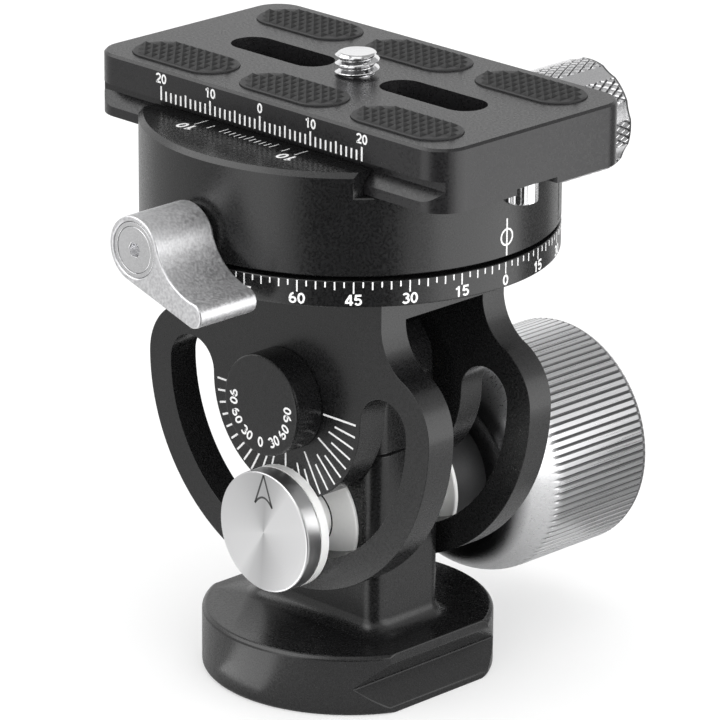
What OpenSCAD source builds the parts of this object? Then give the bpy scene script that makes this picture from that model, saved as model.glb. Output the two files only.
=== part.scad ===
// Two-way monopod head: a tilting fork on a round base, a panning drum with a graduated ring,
// and a dovetail clamp that holds a sliding quick-release plate.
// Millimetres. Origin at the centre of the base underside, Z up, X along the plate, Y along the
// tilt axis towards the tilt knob.

/* [Base and stem] */
// Diameter of the round base
base_d = 42.5; // [42:0.5:60]
// Thickness of the round base
base_h = 9.2; // [8.6:0.1:12]
// Width across the two dovetail flats of the base
base_flats = 37.5; // [34:0.5:41]
// Depth of the V groove in each flat
base_groove = 3.2; // [1:0.1:3.5]
// Height of the lip below the groove
base_lip = 1; // [0.6:0.1:1.8]
// Height of the band above the groove in each flat
base_band = 1.5; // [1:0.1:2.5]
// Width of the stem along the plate direction
stem_w = 25; // [22:0.5:27]
// Thickness of the stem between the fork cheeks
stem_t = 14; // [12:0.5:18]
// Radius of the upright edges of the stem
stem_r = 2.7; // [1:0.1:4]
// Radius of the fillet at the foot of the stem
foot_r = 3; // [1:0.1:4]
// Height of the tilt axis above the base underside
pivot_z = 44; // [42.6:0.2:60]
// How far the shoulder of the stem lies below the tilt axis
shoulder_drop = 7.6; // [7.2:0.1:8.6]
// How far the stem head is set in from the stem faces
head_inset = 0.6; // [0.3:0.1:1]

/* [Threaded socket] */
// Major diameter of the socket thread
socket_d = 9.525; // [6.35, 9.525]
// Depth of the threaded socket
socket_h = 11; // [8:0.5:12]
// Wall of the threaded insert
insert_wall = 1.8; // [1:0.1:2.5]

/* [Fork] */
// Outer radius of the cheeks about the tilt axis
cheek_r = 28.4; // [27:0.1:30]
// Thickness of the front cheek
cheek_t = 5; // [4:0.1:7]
// Thickness of the rear cheek
rear_cheek_t = 4.4; // [4:0.1:7]
// Gap between the stem and each cheek
cheek_gap = 0.7; // [0.6:0.1:1.2]
// Width of the neck under the graduated ring
neck_w = 37.8; // [34:0.2:42]
// Radius of the fillet between the neck and the cheek
neck_fillet = 8; // [6:0.2:9]
// Height of the deck underside above the tilt axis
deck_up = 15.2; // [15:0.1:20]
// Thickness of the deck
deck_t = 5.5; // [5:0.1:8]
// Radius of the curved slot about the tilt axis
slot_r = 19.4; // [18.5:0.1:20]
// Width of the curved slot
slot_w = 9; // [8:0.1:9.6]
// Diameter of the round caps on the tilt axis
cap_d = 14.9; // [13:0.1:16]
// Height of the front cap
cap_h = 5; // [3:0.1:7]
// Height of the rear cap
rear_cap_h = 2.2; // [1.5:0.1:2.4]
// Diameter of the tilt axle
axle_d = 8; // [6:0.5:9]
// Wall of the plain bushes on the axle
bush_wall = 2; // [1.2:0.1:2.4]

/* [Tilt clamp] */
// Diameter of the tilt bolt
bolt_d = 6; // [5:0.5:6.5]
// Outside diameter of the sleeves that run in the slots
sleeve_d = 8.4; // [7.4:0.1:8.4]
// Diameter of the white friction washers
washer_d = 17.4; // [14:0.2:18]
// Thickness of the washer under the tilt knob
washer_t = 0.8; // [0.6:0.1:0.9]
// Diameter of the indicator disc
disc_d = 18; // [16:0.2:20]
// Thickness of the indicator disc with the washer behind it
disc_t = 4.3; // [4:0.1:6]
// Thickness of the white washer behind the indicator disc
disc_wash_t = 1.4; // [0.8:0.1:1.8]
// Diameter of the tilt knob over its flutes
knob_d = 34.2; // [32:0.2:36]
// Length of the full-diameter part of the tilt knob
knob_grip = 17.8; // [12:0.2:24]
// Length of the rounded shoulder of the tilt knob
knob_shoulder = 8; // [7:0.1:8.8]
// Radius of the rounding of the shoulder
shoulder_r = 9; // [8.9:0.1:11]
// Number of flutes round the tilt knob
knob_flutes = 94; // [60:1:110]
// Depth of each flute
flute_depth = 0.3; // [0.15:0.05:0.4]
// Radius of the floor of each flute
flute_r = 0.3; // [0.25:0.01:0.4]
// Diameter of the dark collar between the knob and the cheek
collar_d = 17.2; // [15:0.2:18]
// Length of the dark collar
collar_l = 8.7; // [7.5:0.1:10]
// Diameter of the threaded insert in the tilt knob
insert_d = 12; // [10:0.2:14]
// Length of the threaded insert
insert_l = 16; // [12:0.5:17]
// Diameter of the cover in the end of the tilt knob
knob_cap_d = 20; // [14:0.5:24]
// Depth of the recess for that cover
knob_cap_t = 1.2; // [1:0.1:1.6]

/* [Pan stage] */
// Diameter of the drum and of the graduated ring
drum_d = 60; // [57:0.5:61]
// Height of the graduated ring
ring_h = 3.8; // [3:0.1:5]
// Shadow gap between the ring and the drum
drum_gap = 0.6; // [0.4:0.1:0.9]
// Height of the drum up to the bed
drum_h = 11.3; // [11:0.1:13]
// Diameter of the pan spindle
spindle_d = 12; // [11:0.5:13]
// Diameter of the screws in the two ends of the spindle
core_d = 5; // [4:0.5:5]
// Diameter of the head of the lower spindle screw
core_head_d = 8.8; // [8:0.2:9]
// Thickness of the head of the lower spindle screw
core_head_t = 1.8; // [1.4:0.1:1.9]
// Length of the lower spindle screw
core_l = 7; // [5:0.5:8]
// Diameter of the head of the upper spindle screw
retain_head_d = 8.4; // [7:0.2:9]
// Thickness of the head of the upper spindle screw
retain_head_t = 1.1; // [0.8:0.1:1.2]
// Outside diameter of the thrust washer
thrust_d = 18; // [17:0.2:18]
// Thickness of the thrust washer
thrust_t = 1; // [0.8:0.1:1]
// Height of the bed screw cover
cover_t = 0.7; // [0.5:0.1:0.8]

/* [Pan lock lever] */
// Height of the lever axis above the drum underside
lever_up = 3.6; // [3.6:0.1:5]
// Depth of the lever along its axis
lever_t = 9.6; // [9:0.2:14]
// Radius of the lever hub
hub_r = 4.8; // [4.3:0.1:6]
// Width of the rim round the recess in the lever hub
hub_rim = 0.8; // [0.6:0.1:1]
// Length of the round boss between the lever and the drum
lever_boss = 1.9; // [1:0.1:3]
// Radius of the lever tip
tip_r = 1.8; // [1.2:0.1:2.4]
// Distance of the lever tip from the axis, along the plate
tip_x = 11.6; // [9:0.2:14]
// Distance of the lever tip below the axis
tip_drop = 6.7; // [5:0.1:7]
// Radius of the hollow between the lever hub and the tip
bow_r = 9; // [7:0.5:14]
// Diameter of the lever stud
stud_d = 5; // [4:0.5:5]
// Diameter of the brake shoe
shoe_d = 4; // [3:0.5:4]

/* [Dovetail clamp] */
// Distance of the split between the drum and the moving jaw from the pan axis
split_y = 16; // [15.8:0.1:16.4]
// Width of the jaws above the bed
jaw_w = 43; // [38:0.5:44]
// Thickness of the ledge under the moving jaw
ledge_t = 0.8; // [0.6:0.1:1.2]
// Opening travel of the moving jaw
jaw_travel = 3.75; // [2.5:0.05:5]
// Height of the clamp screw above the drum underside
clamp_up = 3.8; // [3.2:0.1:5]
// Diameter of the clamp screw
clamp_d = 5; // [4:0.5:5]
// Diameter of the clamp knob
clamp_knob_d = 17.2; // [15:0.2:18]
// Length of the knurled part of the clamp knob
clamp_knob_l = 12.6; // [9:0.2:16]
// Number of flutes round the clamp knob
clamp_flutes = 8; // [6:1:10]
// Diameter of the guide pins of the moving jaw
guide_d = 4; // [3:0.5:5]
// Distance of each guide pin from the middle
guide_x = 15; // [13:0.5:17]
// Depth of the guide pins in the drum
guide_in = 9.9; // [8:0.1:10]
// Length of the guide pins past the split
guide_out = 7; // [5:0.5:8]
// Diameter of the cover in the end of the clamp knob
clamp_cap_d = 9; // [7:0.2:10]
// Radius of the scallops round the clamp knob
scallop_r = 2.3; // [1.8:0.1:2.6]

/* [Quick-release plate] */
// Position of the plate along the clamp
plate_x = 1.2; // [-5:0.1:5]
// Length of the plate
plate_l = 70; // [66:0.5:80]
// Chamfer round the top edge of the plate
plate_edge = 0.35; // [0.2:0.05:0.5]
// Width of the plate
plate_w = 37.5; // [36.4:0.1:38]
// Height of the plate
plate_h = 9.1; // [8.6:0.1:10]
// Radius of the plate corners
plate_r = 4.6; // [3:0.1:6]
// Depth of the dovetail groove along each long side
plate_groove = 1.7; // [1.5:0.1:1.8]
// Height of the band above the groove
plate_band = 4.5; // [4.2:0.1:4.8]
// Height of the flange below the groove
plate_flange = 1.4; // [1.2:0.1:1.5]
// Length of each obround slot
slot_l = 18.5; // [14:0.5:19]
// Width of each obround slot
slot_gap = 6.5; // [5:0.1:7]
// Distance of each slot from the middle of the plate
slot_x = 15; // [14.5:0.1:16]
// Length of each rubber pad
pad_l = 18.4; // [14:0.2:20]
// Width of each rubber pad
pad_w = 8.5; // [6:0.1:9]
// How far the pads stand above the plate
pad_up = 0.8; // [0.3:0.1:1.2]
// Depth of the pad pockets
pad_pocket = 1; // [0.6:0.1:1.2]
// Spacing of the pads along the plate
pad_dx = 22; // [20.5:0.1:22.6]
// Distance of each pad row from the centre line
pad_y = 12.3; // [12:0.1:13]
// Diameter of the camera screw
screw_d = 6.35; // [6.35, 9.525]
// Height of the camera screw above the plate
screw_up = 3.2; // [2.5:0.1:6]
// Diameter of the neck of the camera screw in the plate
neck_d = 5; // [4.4:0.1:5.4]
// Diameter of the camera screw head
screw_head_d = 12.8; // [12:0.2:13]
// Distance of each stop screw from the middle of the plate
stop_x = 31.9; // [31.7:0.1:32.4]
// Diameter of each stop screw head
stop_d = 4.9; // [4:0.1:5]
// How far the stop screws reach below the plate
stop_drop = 2.4; // [1.5:0.1:2.6]

/* [Fits] */
// Radial clearance of parts that turn or slide in a hole
run = 0.04; // [0.02:0.01:0.08]
// Radial clearance of parts that are fixed in a hole
snug = 0.02; // [0.01:0.01:0.03]
// Gap between flat faces that rub
rub = 0.1; // [0.06:0.01:0.14]
// Gap between curved faces that move past each other
free = 0.3; // [0.25:0.01:0.4]

/* [Hidden] */
$fn = 96;
eps = 0.01;
nick = 0.05;
root2 = sqrt(2);
black = "#2b2b2d";
grey = "#5a5a5d";
silver = "#cfd0d2";
bright = "#e6e6e8";
steel = "#b4b6ba";
white = "#f2f2f0";
brass = "#b9995a";
rubber = "#1c1c1d";
// tilt axis and fork
stem_y = stem_t / 2;
in_y = stem_y + cheek_gap;
out_y = in_y + cheek_t;
rear_y = in_y + rear_cheek_t;
head_y = stem_y - head_inset;
head_r = stem_w / 2 - head_inset;
bolt_z = pivot_z - slot_r;
deck_z = pivot_z + deck_up;
ring_z = deck_z + deck_t;
ring_top = ring_z + ring_h;
axle_r = axle_d / 2;
bush_r = axle_r + bush_wall;
bush_flange = cheek_gap + head_inset - rub;
ear_r = cheek_r - slot_r;
spigot_r = 22;
// tilt clamp
bolt_r = bolt_d / 2;
disc_back = out_y + rub;
disc_front = disc_back + disc_t;
disc_seat = disc_back + disc_wash_t;
bolt_tip = disc_seat + 1.6;
knob_wash_y = rear_y + rub;
collar_y = knob_wash_y + washer_t + rub;
knob_y = collar_y + 6.7;
grip_y = knob_y + knob_shoulder;
knob_end = grip_y + knob_grip;
knob_r = knob_d / 2;
insert_y = collar_y + collar_l;
insert_end = insert_y + insert_l;
insert_rim = insert_d / 2;
knob_cap_y = knob_end - knob_cap_t;
knob_cap_r = knob_cap_d / 2;
// pan stage
drum_r = drum_d / 2;
drum_z = ring_top + drum_gap;
bed_z = drum_z + drum_h;
thrust_r = thrust_d / 2;
recess_z = ring_top + thrust_t + snug + 0.15;
spindle_r = spindle_d / 2;
core_r = core_d / 2;
core_seat = core_head_t + 0.2;
spindle_lo = deck_z + core_seat + 1;
well_z = bed_z - 3.5;
well_r = 8.6;
retain_z = well_z + free;
drum_bush_r = spindle_r + 2;
cover_z = bed_z - cover_t;
// lever
lever_z = drum_z + lever_up;
lever_near = drum_r + 0.4;
lever_in = lever_near + lever_boss;
lever_out = lever_in + lever_t;
cup_r = hub_r - hub_rim;
stud_r = stud_d / 2;
shoe_r = shoe_d / 2;
shoe_in = spindle_r + free;
shoe_out = shoe_in + 5.7;
stud_in = shoe_out + 0.5;
// dovetail clamp
half_w = plate_w / 2;
plate_z = bed_z + rub;
plate_top = plate_z + plate_h;
groove_lo = plate_z + plate_flange;
apex_z = groove_lo + plate_groove;
groove_hi = plate_top - plate_band;
jaw_z = apex_z + 0.3;
lip_tip = half_w - plate_groove + 0.45;
lip_tip_z = half_w - lip_tip + groove_lo + free * root2;
lip_lo = groove_lo - free + free * root2;
clamp_z = drum_z + clamp_up;
clamp_r = clamp_d / 2;
seat_y = drum_r + 0.4;
clamp_wash_t = 0.8;
clamp_hub_y = seat_y + clamp_wash_t + rub;
clamp_grip_y = clamp_hub_y + 5.9;
clamp_end = clamp_grip_y + clamp_knob_l;
clamp_tip = drum_bush_r + 2.2;
guide_r = guide_d / 2;
clamp_cap_r = clamp_cap_d / 2;
clamp_cap_y = clamp_end - 1.2;
guide_z = drum_z + 6.4;
// plate
stop_r = stop_d / 2;
groove_up = 0.9;
screw_r = screw_d / 2;
head_z = plate_z + 1.1;
head_t = 2.5;
pocket_r = screw_head_d / 2 + 0.6;

// Solid rod along Y from y0 to y1.
module rod_y(y0, y1, r) {
    translate([0, y0, 0]) rotate([-90, 0, 0]) cylinder(h = y1 - y0, r = r);
}

// Ring along Y from y0 to y1.
module ring_y(y0, y1, r, bore) {
    difference() {
        rod_y(y0, y1, r);
        rod_y(y0 - 1, y1 + 1, bore);
    }
}

// Ring along Z from z0 to z1.
module ring_up(z0, z1, r, bore) {
    difference() {
        translate([0, 0, z0]) cylinder(h = z1 - z0, r = r);
        translate([0, 0, z0 - 1]) cylinder(h = z1 - z0 + 2, r = bore);
    }
}

// Flat outline in X and Z swept along Y from y0 to y1.
module sweep_y(y0, y1) {
    translate([0, y1, 0]) rotate([90, 0, 0]) linear_extrude(y1 - y0) children();
}

// Flat outline in Y and Z swept along X from x0 to x1.
module sweep_x(x0, x1) {
    translate([x0, 0, 0]) rotate([90, 0, 90]) linear_extrude(x1 - x0) children();
}

// Rectangle with round corners.
module rounded_rect(w, h, r) {
    square([w - 2 * r, h], center = true);
    square([w, h - 2 * r], center = true);
    for (x = [-1, 1])
        for (y = [-1, 1])
            translate([x * (w / 2 - r), y * (h / 2 - r)]) circle(r);
}

// Bar with two round ends.
module obround(l, w) {
    square([l - w, w], center = true);
    for (x = [-1, 1])
        translate([x * (l - w) / 2, 0]) circle(w / 2);
}

// Cylinder about Z with a chamfer at its top and bottom rim.
module chamfered(z0, z1, r, lo, hi) {
    rotate_extrude()
        polygon([[0, z0], [r - lo, z0], [r, z0 + lo], [r, z1 - hi], [r - hi, z1], [0, z1]]);
}

// Cylinder about Y with a chamfer at both ends.
module chamfered_y(y0, y1, r, c) {
    rotate([-90, 0, 0]) chamfered(y0, y1, r, c, c);
}

// Concave fillet round the foot of the stem.
module foot_fillet() {
    cut = foot_r - nick;
    w = stem_w - 2 * stem_r;
    t = stem_t - 2 * stem_r;
    for (x = [-1, 1])
        for (y = [-1, 1])
            translate([x * w / 2, y * t / 2, base_h])
                rotate_extrude()
                    difference() {
                        translate([stem_r / 2, -0.5]) square([stem_r / 2 + cut, cut + 0.5]);
                        translate([stem_r + cut, cut]) circle(foot_r);
                    }
    for (s = [-1, 1]) {
        mirror([0, s < 0 ? 1 : 0, 0])
            sweep_x(-w / 2, w / 2)
                difference() {
                    translate([stem_y - 1, base_h - 0.5]) square([1 + cut, cut + 0.5]);
                    translate([stem_y + cut, base_h + cut]) circle(foot_r);
                }
        mirror([s < 0 ? 1 : 0, 0, 0])
            sweep_y(-t / 2, t / 2)
                difference() {
                    translate([stem_w / 2 - 1, base_h - 0.5]) square([1 + cut, cut + 0.5]);
                    translate([stem_w / 2 + cut, base_h + cut]) circle(foot_r);
                }
    }
}

// V groove along Y in the flat of the base at +X.
module base_v() {
    x = base_flats / 2;
    z = base_lip + base_groove;
    e = base_groove + 2;
    rise = (base_h - base_band - z) / base_groove;
    rotate([90, 0, 0])
        linear_extrude(base_d + 2, center = true)
            polygon([[x - base_groove, z], [x + 2, z - e], [x + 2, z + e * rise]]);
}

module base_stem() {
    insert_r = socket_d / 2 + insert_wall;
    color(black)
        difference() {
            union() {
                intersection() {
                    chamfered(0, base_h, base_d / 2, 0.5, 0.5);
                    translate([-base_flats / 2, -base_d / 2, 0]) cube([base_flats, base_d, base_h]);
                }
                translate([0, 0, base_h - 1])
                    linear_extrude(pivot_z - shoulder_drop - base_h + 1)
                        rounded_rect(stem_w, stem_t, stem_r);
                foot_fillet();
                intersection() {
                    translate([0, 0, base_h])
                        linear_extrude(pivot_z)
                            rounded_rect(2 * head_r, 2 * head_y, stem_r - head_inset / 2);
                    sweep_y(-stem_y, stem_y)
                        translate([0, pivot_z]) {
                            circle(head_r);
                            translate([-head_r, -shoulder_drop - 2])
                                square([2 * head_r, shoulder_drop + 2]);
                        }
                }
            }
            base_v();
            mirror([1, 0, 0]) base_v();
            translate([0, 0, -1]) cylinder(h = socket_h + 1, r = insert_r);
            translate([0, 0, pivot_z]) rod_y(-stem_t, stem_t, axle_r + snug);
            translate([0, 0, bolt_z]) rod_y(-stem_t, stem_t, bolt_r + snug);
        }
}

module thread_insert() {
    color(brass) ring_up(0, socket_h - 0.1, socket_d / 2 + insert_wall - snug, socket_d / 2);
}

module pivot_axle() {
    color(steel) translate([0, 0, pivot_z]) chamfered_y(-out_y + 0.3, rear_y - 0.3, axle_r, 0.3);
}

module tilt_bolt() {
    color(steel) translate([0, 0, bolt_z]) chamfered_y(-bolt_tip, insert_end - 1, bolt_r, 0.4);
}

module indicator_disc() {
    color(silver)
        translate([0, 0, bolt_z])
            difference() {
                rotate([90, 0, 0]) chamfered(disc_seat, disc_front, disc_d / 2, 0.1, 0.35);
                rod_y(-bolt_tip - 0.2, 0, bolt_r + snug);
            }
}

module disc_washer() {
    color(white)
        translate([0, 0, bolt_z]) ring_y(-disc_seat, -disc_back, disc_d / 2, bolt_r + snug);
}

module slot_sleeves() {
    color(white)
        translate([0, 0, bolt_z]) {
            ring_y(-out_y - 0.05, -in_y + 0.05, sleeve_d / 2, bolt_r + snug);
            ring_y(in_y - 0.05, rear_y + 0.05, sleeve_d / 2, bolt_r + snug);
        }
}

module inner_washers() {
    color(white)
        translate([0, 0, bolt_z])
            for (s = [0, 1])
                mirror([0, s, 0]) ring_y(stem_y, in_y - rub, washer_d / 2, bolt_r + snug);
}

module knob_washer() {
    color(white)
        translate([0, 0, bolt_z])
            ring_y(knob_wash_y, knob_wash_y + washer_t, washer_d / 2, bolt_r + snug);
}

// Outline of one cheek about the tilt axis, with the neck above it.
module cheek_outline() {
    fx = neck_w / 2 + neck_fillet - nick;
    reach = neck_fillet + ear_r - nick;
    fz = sqrt(reach * reach - (fx - slot_r) * (fx - slot_r));
    intersection() {
        circle(cheek_r);
        translate([-cheek_r - 1, -cheek_r - 1]) square([2 * cheek_r + 2, cheek_r + 1]);
    }
    for (s = [-1, 1])
        translate([s * slot_r, 0]) circle(ear_r);
    translate([-neck_w / 2, -1]) square([neck_w, deck_up + deck_t + 1]);
    for (s = [0, 1])
        mirror([s, 0])
            difference() {
                polygon([[slot_r - 2, -1], [slot_r, -1], [fx, fz], [neck_w / 2 - 1, fz]]);
                translate([fx, fz]) circle(neck_fillet);
            }
}

// Curved slot through one cheek, a quarter turn to each side.
module curved_slot() {
    difference() {
        circle(slot_r + slot_w / 2);
        circle(slot_r - slot_w / 2);
        translate([-cheek_r - 1, 0]) square([2 * cheek_r + 2, cheek_r + 1]);
    }
    for (s = [-1, 1])
        translate([s * slot_r, 0]) circle(slot_w / 2);
}

// One cheek with its slot, in X and Z.
module cheek_face() {
    translate([0, pivot_z])
        difference() {
            cheek_outline();
            curved_slot();
        }
}

module fork() {
    color(black)
        difference() {
            union() {
                sweep_y(-out_y, -in_y) cheek_face();
                sweep_y(in_y, rear_y) cheek_face();
                translate([-neck_w / 2, -out_y, deck_z]) cube([neck_w, out_y + rear_y, deck_t]);
                translate([0, 0, ring_z - 1]) cylinder(h = ring_h + 1, r = spigot_r);
            }
            translate([0, 0, pivot_z]) rod_y(-out_y - 1, out_y + 1, bush_r + snug);
            translate([0, 0, spindle_lo]) cylinder(h = 20, r = spindle_r + snug);
            translate([0, 0, deck_z - 1]) cylinder(h = 10, r = core_r + snug);
            translate([0, 0, deck_z - 1]) cylinder(h = core_seat + 1, r = core_head_d / 2 + free);
        }
}

module scale_ring() {
    color(black)
        difference() {
            chamfered(ring_z, ring_top, drum_r, 0.2, 0.2);
            translate([0, 0, ring_z - 1]) cylinder(h = ring_h + 2, r = spigot_r + snug);
        }
}

module pivot_cap_front() {
    color(black)
        translate([0, 0, pivot_z])
            rotate([180, 0, 0])
                rotate([-90, 0, 0]) chamfered(out_y, out_y + cap_h, cap_d / 2, 0, 0.35);
}

module pivot_cap_rear() {
    color(black)
        translate([0, 0, pivot_z])
            rotate([-90, 0, 0]) chamfered(rear_y, rear_y + rear_cap_h, cap_d / 2, 0, 0.35);
}

// Plain bush with a flange against the stem head, ending at y1.
module flanged_bush(y1) {
    difference() {
        union() {
            rod_y(in_y - 0.2, y1, bush_r);
            rod_y(in_y - bush_flange, in_y, bush_r + 0.9);
        }
        rod_y(0, y1 + 1, axle_r + run);
    }
}

module axle_bushes() {
    color(brass)
        translate([0, 0, pivot_z]) {
            mirror([0, 1, 0]) flanged_bush(out_y - 0.1);
            flanged_bush(rear_y - 0.1);
        }
}

module pan_spindle() {
    color(steel)
        difference() {
            translate([0, 0, spindle_lo]) cylinder(h = retain_z - spindle_lo, r = spindle_r);
            translate([0, 0, spindle_lo - 1]) cylinder(h = 30, r = core_r + snug);
        }
}

module spindle_screw() {
    color(steel) {
        translate([0, 0, deck_z + core_seat - core_head_t]) cylinder(h = core_head_t, r = core_head_d / 2);
        translate([0, 0, deck_z + core_seat - 0.1]) cylinder(h = core_l, r = core_r);
    }
}

module thrust_washer() {
    color(white) ring_up(ring_top + snug, ring_top + snug + thrust_t, thrust_r, spindle_r + 0.4);
}

module retainer_disc() {
    color(steel) ring_up(retain_z, retain_z + 1, well_r - free, core_r + snug);
}

module retainer_screw() {
    color(steel) {
        translate([0, 0, retain_z + 1]) cylinder(h = retain_head_t, r = retain_head_d / 2);
        translate([0, 0, retain_z - 5]) cylinder(h = 6.1, r = core_r);
    }
}

// Cross-section of a jaw lip in Y and Z, hooked over the plate flange on the +Y side.
module lip_section() {
    polygon([[half_w + free, bed_z - 2], [half_w + free, lip_lo], [lip_tip, lip_tip_z], [lip_tip, jaw_z],
        [drum_r + jaw_travel, jaw_z], [drum_r + jaw_travel, bed_z - 2]]);
}

// Upper part of a jaw on the +Y side, inside the drum outline.
module jaw_top() {
    intersection() {
        chamfered(bed_z - 2, jaw_z, drum_r, 0, 0.7);
        sweep_x(-jaw_w / 2, jaw_w / 2) lip_section();
    }
}

module drum() {
    stop_in = stop_x - stop_r - 20 - free;
    channel = 2 * stop_r + 4 * free;
    color(black)
        difference() {
            union() {
                chamfered(drum_z, drum_z + ledge_t, drum_r, 0.2, 0);
                intersection() {
                    chamfered(drum_z, bed_z, drum_r, 0.2, 0.2);
                    translate([-drum_r, -drum_r, drum_z]) cube([drum_d, drum_r + split_y, drum_h]);
                }
                mirror([0, 1, 0]) jaw_top();
            }
            translate([0, 0, drum_z - 1]) cylinder(h = recess_z - drum_z + 1, r = thrust_r + free);
            translate([0, 0, drum_z]) cylinder(h = 30, r = drum_bush_r + snug);
            translate([0, 0, well_z]) cylinder(h = 30, r = well_r);
            for (s = [0, 1])
                mirror([s, 0, 0])
                    translate([stop_in, -channel / 2, bed_z - stop_drop - free])
                        cube([drum_r, channel, 10]);
            translate([0, 0, lever_z]) {
                rod_y(-drum_r - 1, -stud_in, stud_r + run);
                rod_y(-shoe_out - 1, 0, shoe_r + run);
            }
            translate([0, 0, clamp_z]) rod_y(clamp_tip - 0.6, drum_r, clamp_r + run);
            for (s = [-1, 1])
                translate([s * guide_x, 0, guide_z]) rod_y(split_y - guide_in - rub, drum_r, guide_r + snug);
        }
}

module drum_bush() {
    color(brass)
        difference() {
            ring_up(recess_z, well_z, drum_bush_r, spindle_r + run);
            translate([0, 0, lever_z]) rod_y(-drum_r, 0, shoe_r + run);
        }
}

module bed_cover() {
    color(black) translate([0, 0, cover_z]) cylinder(h = cover_t, r = well_r - snug);
}

module guide_pins() {
    color(steel)
        for (s = [-1, 1])
            translate([s * guide_x, 0, guide_z]) rod_y(split_y - guide_in, split_y + guide_out, guide_r);
}

// Side outline of the lever about its axis.
module lever_outline() {
    len2 = tip_x * tip_x + tip_drop * tip_drop;
    dist = sqrt(len2);
    lean = atan2(-tip_drop, tip_x);
    side = acos((hub_r - tip_r) / dist);
    lo = lean - side;
    reach = hub_r + bow_r;
    swing = lean + acos((len2 + reach * reach - (tip_r + bow_r) * (tip_r + bow_r)) / (2 * dist * reach));
    bow_x = reach * cos(swing);
    bow_z = reach * sin(swing);
    circle(hub_r);
    translate([tip_x, -tip_drop]) circle(tip_r);
    difference() {
        polygon([[0, 0], [hub_r * cos(lo), hub_r * sin(lo)],
            [tip_x + tip_r * cos(lo), -tip_drop + tip_r * sin(lo)], [tip_x, -tip_drop], [bow_x, bow_z]]);
        translate([bow_x, bow_z]) circle(bow_r);
    }
}

module pan_lever() {
    color(silver)
        translate([0, 0, lever_z])
            difference() {
                union() {
                    sweep_y(-lever_out, -lever_in) lever_outline();
                    rod_y(-lever_in - 1, -lever_near, cup_r);
                }
                rod_y(-lever_out + 5, 0, stud_r + snug);
                rod_y(-lever_out - 1, 0, 1.6 + snug);
                rod_y(-lever_out - 1, -lever_out + 1.2, cup_r);
            }
}

module lever_stud() {
    color(steel)
        translate([0, 0, lever_z])
            difference() {
                rod_y(-lever_out + 5.1, -stud_in, stud_r);
                rod_y(-lever_out, -lever_in, 1.6 + snug);
            }
}

module lever_washer() {
    color(silver)
        translate([0, 0, lever_z])
            ring_y(-lever_out + 0.15, -lever_out + 1.15, cup_r - 0.05, cup_r - 0.65);
}

module lever_screw() {
    r = cup_r - 0.7;
    color(steel)
        translate([0, 0, lever_z])
            difference() {
                union() {
                    rod_y(-lever_out + 0.2, -lever_out + 1.2, r);
                    rod_y(-lever_out + 1.1, -lever_in - 1, 1.6);
                }
                translate([0, -lever_out + 1.9, 0]) rotate([90, 0, 0]) cylinder(h = 3, r = 1.1, $fn = 6);
            }
}

module brake_shoe() {
    color(brass) translate([0, 0, lever_z]) rod_y(-shoe_out, -shoe_in, shoe_r);
}

module moving_jaw() {
    low = drum_z + ledge_t + rub;
    front = split_y + free;
    color(black)
        difference() {
            union() {
                intersection() {
                    translate([0, 0, low]) cylinder(h = bed_z - low, r = drum_r);
                    translate([-drum_r, front, low]) cube([drum_d, drum_r, drum_h]);
                }
                jaw_top();
                intersection() {
                    translate([0, 0, clamp_z]) rod_y(front + 1, seat_y, 5);
                    translate([-10, front, low]) cube([20, drum_r, drum_h]);
                }
            }
            translate([0, 0, clamp_z]) rod_y(0, drum_d, clamp_r + run);
            for (s = [-1, 1])
                translate([s * guide_x, 0, guide_z]) rod_y(0, split_y + guide_out + 0.4, guide_r + run);
        }
}

module clamp_washer() {
    color(steel) translate([0, 0, clamp_z]) ring_y(seat_y, seat_y + clamp_wash_t, 5, clamp_r + run);
}

module clamp_knob() {
    r = clamp_knob_d / 2;
    color(bright)
        translate([0, 0, clamp_z])
            difference() {
                union() {
                    rod_y(clamp_hub_y, clamp_grip_y + 1, 5);
                    intersection() {
                        chamfered_y(clamp_grip_y, clamp_end, r, 0.7);
                        sweep_y(clamp_grip_y - 1, clamp_end + 1)
                            difference() {
                                circle(r + 1);
                                for (i = [0 : clamp_flutes - 1])
                                    rotate(360 / clamp_flutes * (i + 0.37))
                                        translate([r - 0.9 + scallop_r, 0]) circle(scallop_r);
                            }
                    }
                }
                rod_y(0, clamp_end - 2, clamp_r + snug);
                rod_y(clamp_cap_y, clamp_end + 1, clamp_cap_r);
            }
}

module clamp_screw() {
    color(steel) translate([0, 0, clamp_z]) chamfered_y(clamp_tip, clamp_end - 2.1, clamp_r, 0.3);
}

module clamp_cap() {
    color(bright) translate([0, 0, clamp_z]) rod_y(clamp_cap_y, clamp_end - 0.2, clamp_cap_r - snug);
}

// Moves the plate assembly to its place along the clamp.
module on_plate() {
    translate([plate_x, 0, 0]) children();
}

// Dovetail groove along X in the +Y side of the plate.
module plate_v() {
    y = half_w - plate_groove;
    e = plate_groove + 2;
    sweep_x(-plate_l, plate_l)
        polygon([[y, apex_z], [y + e, apex_z - e], [y + e, groove_hi + 0.3], [y, groove_hi - 0.2]]);
}

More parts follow.
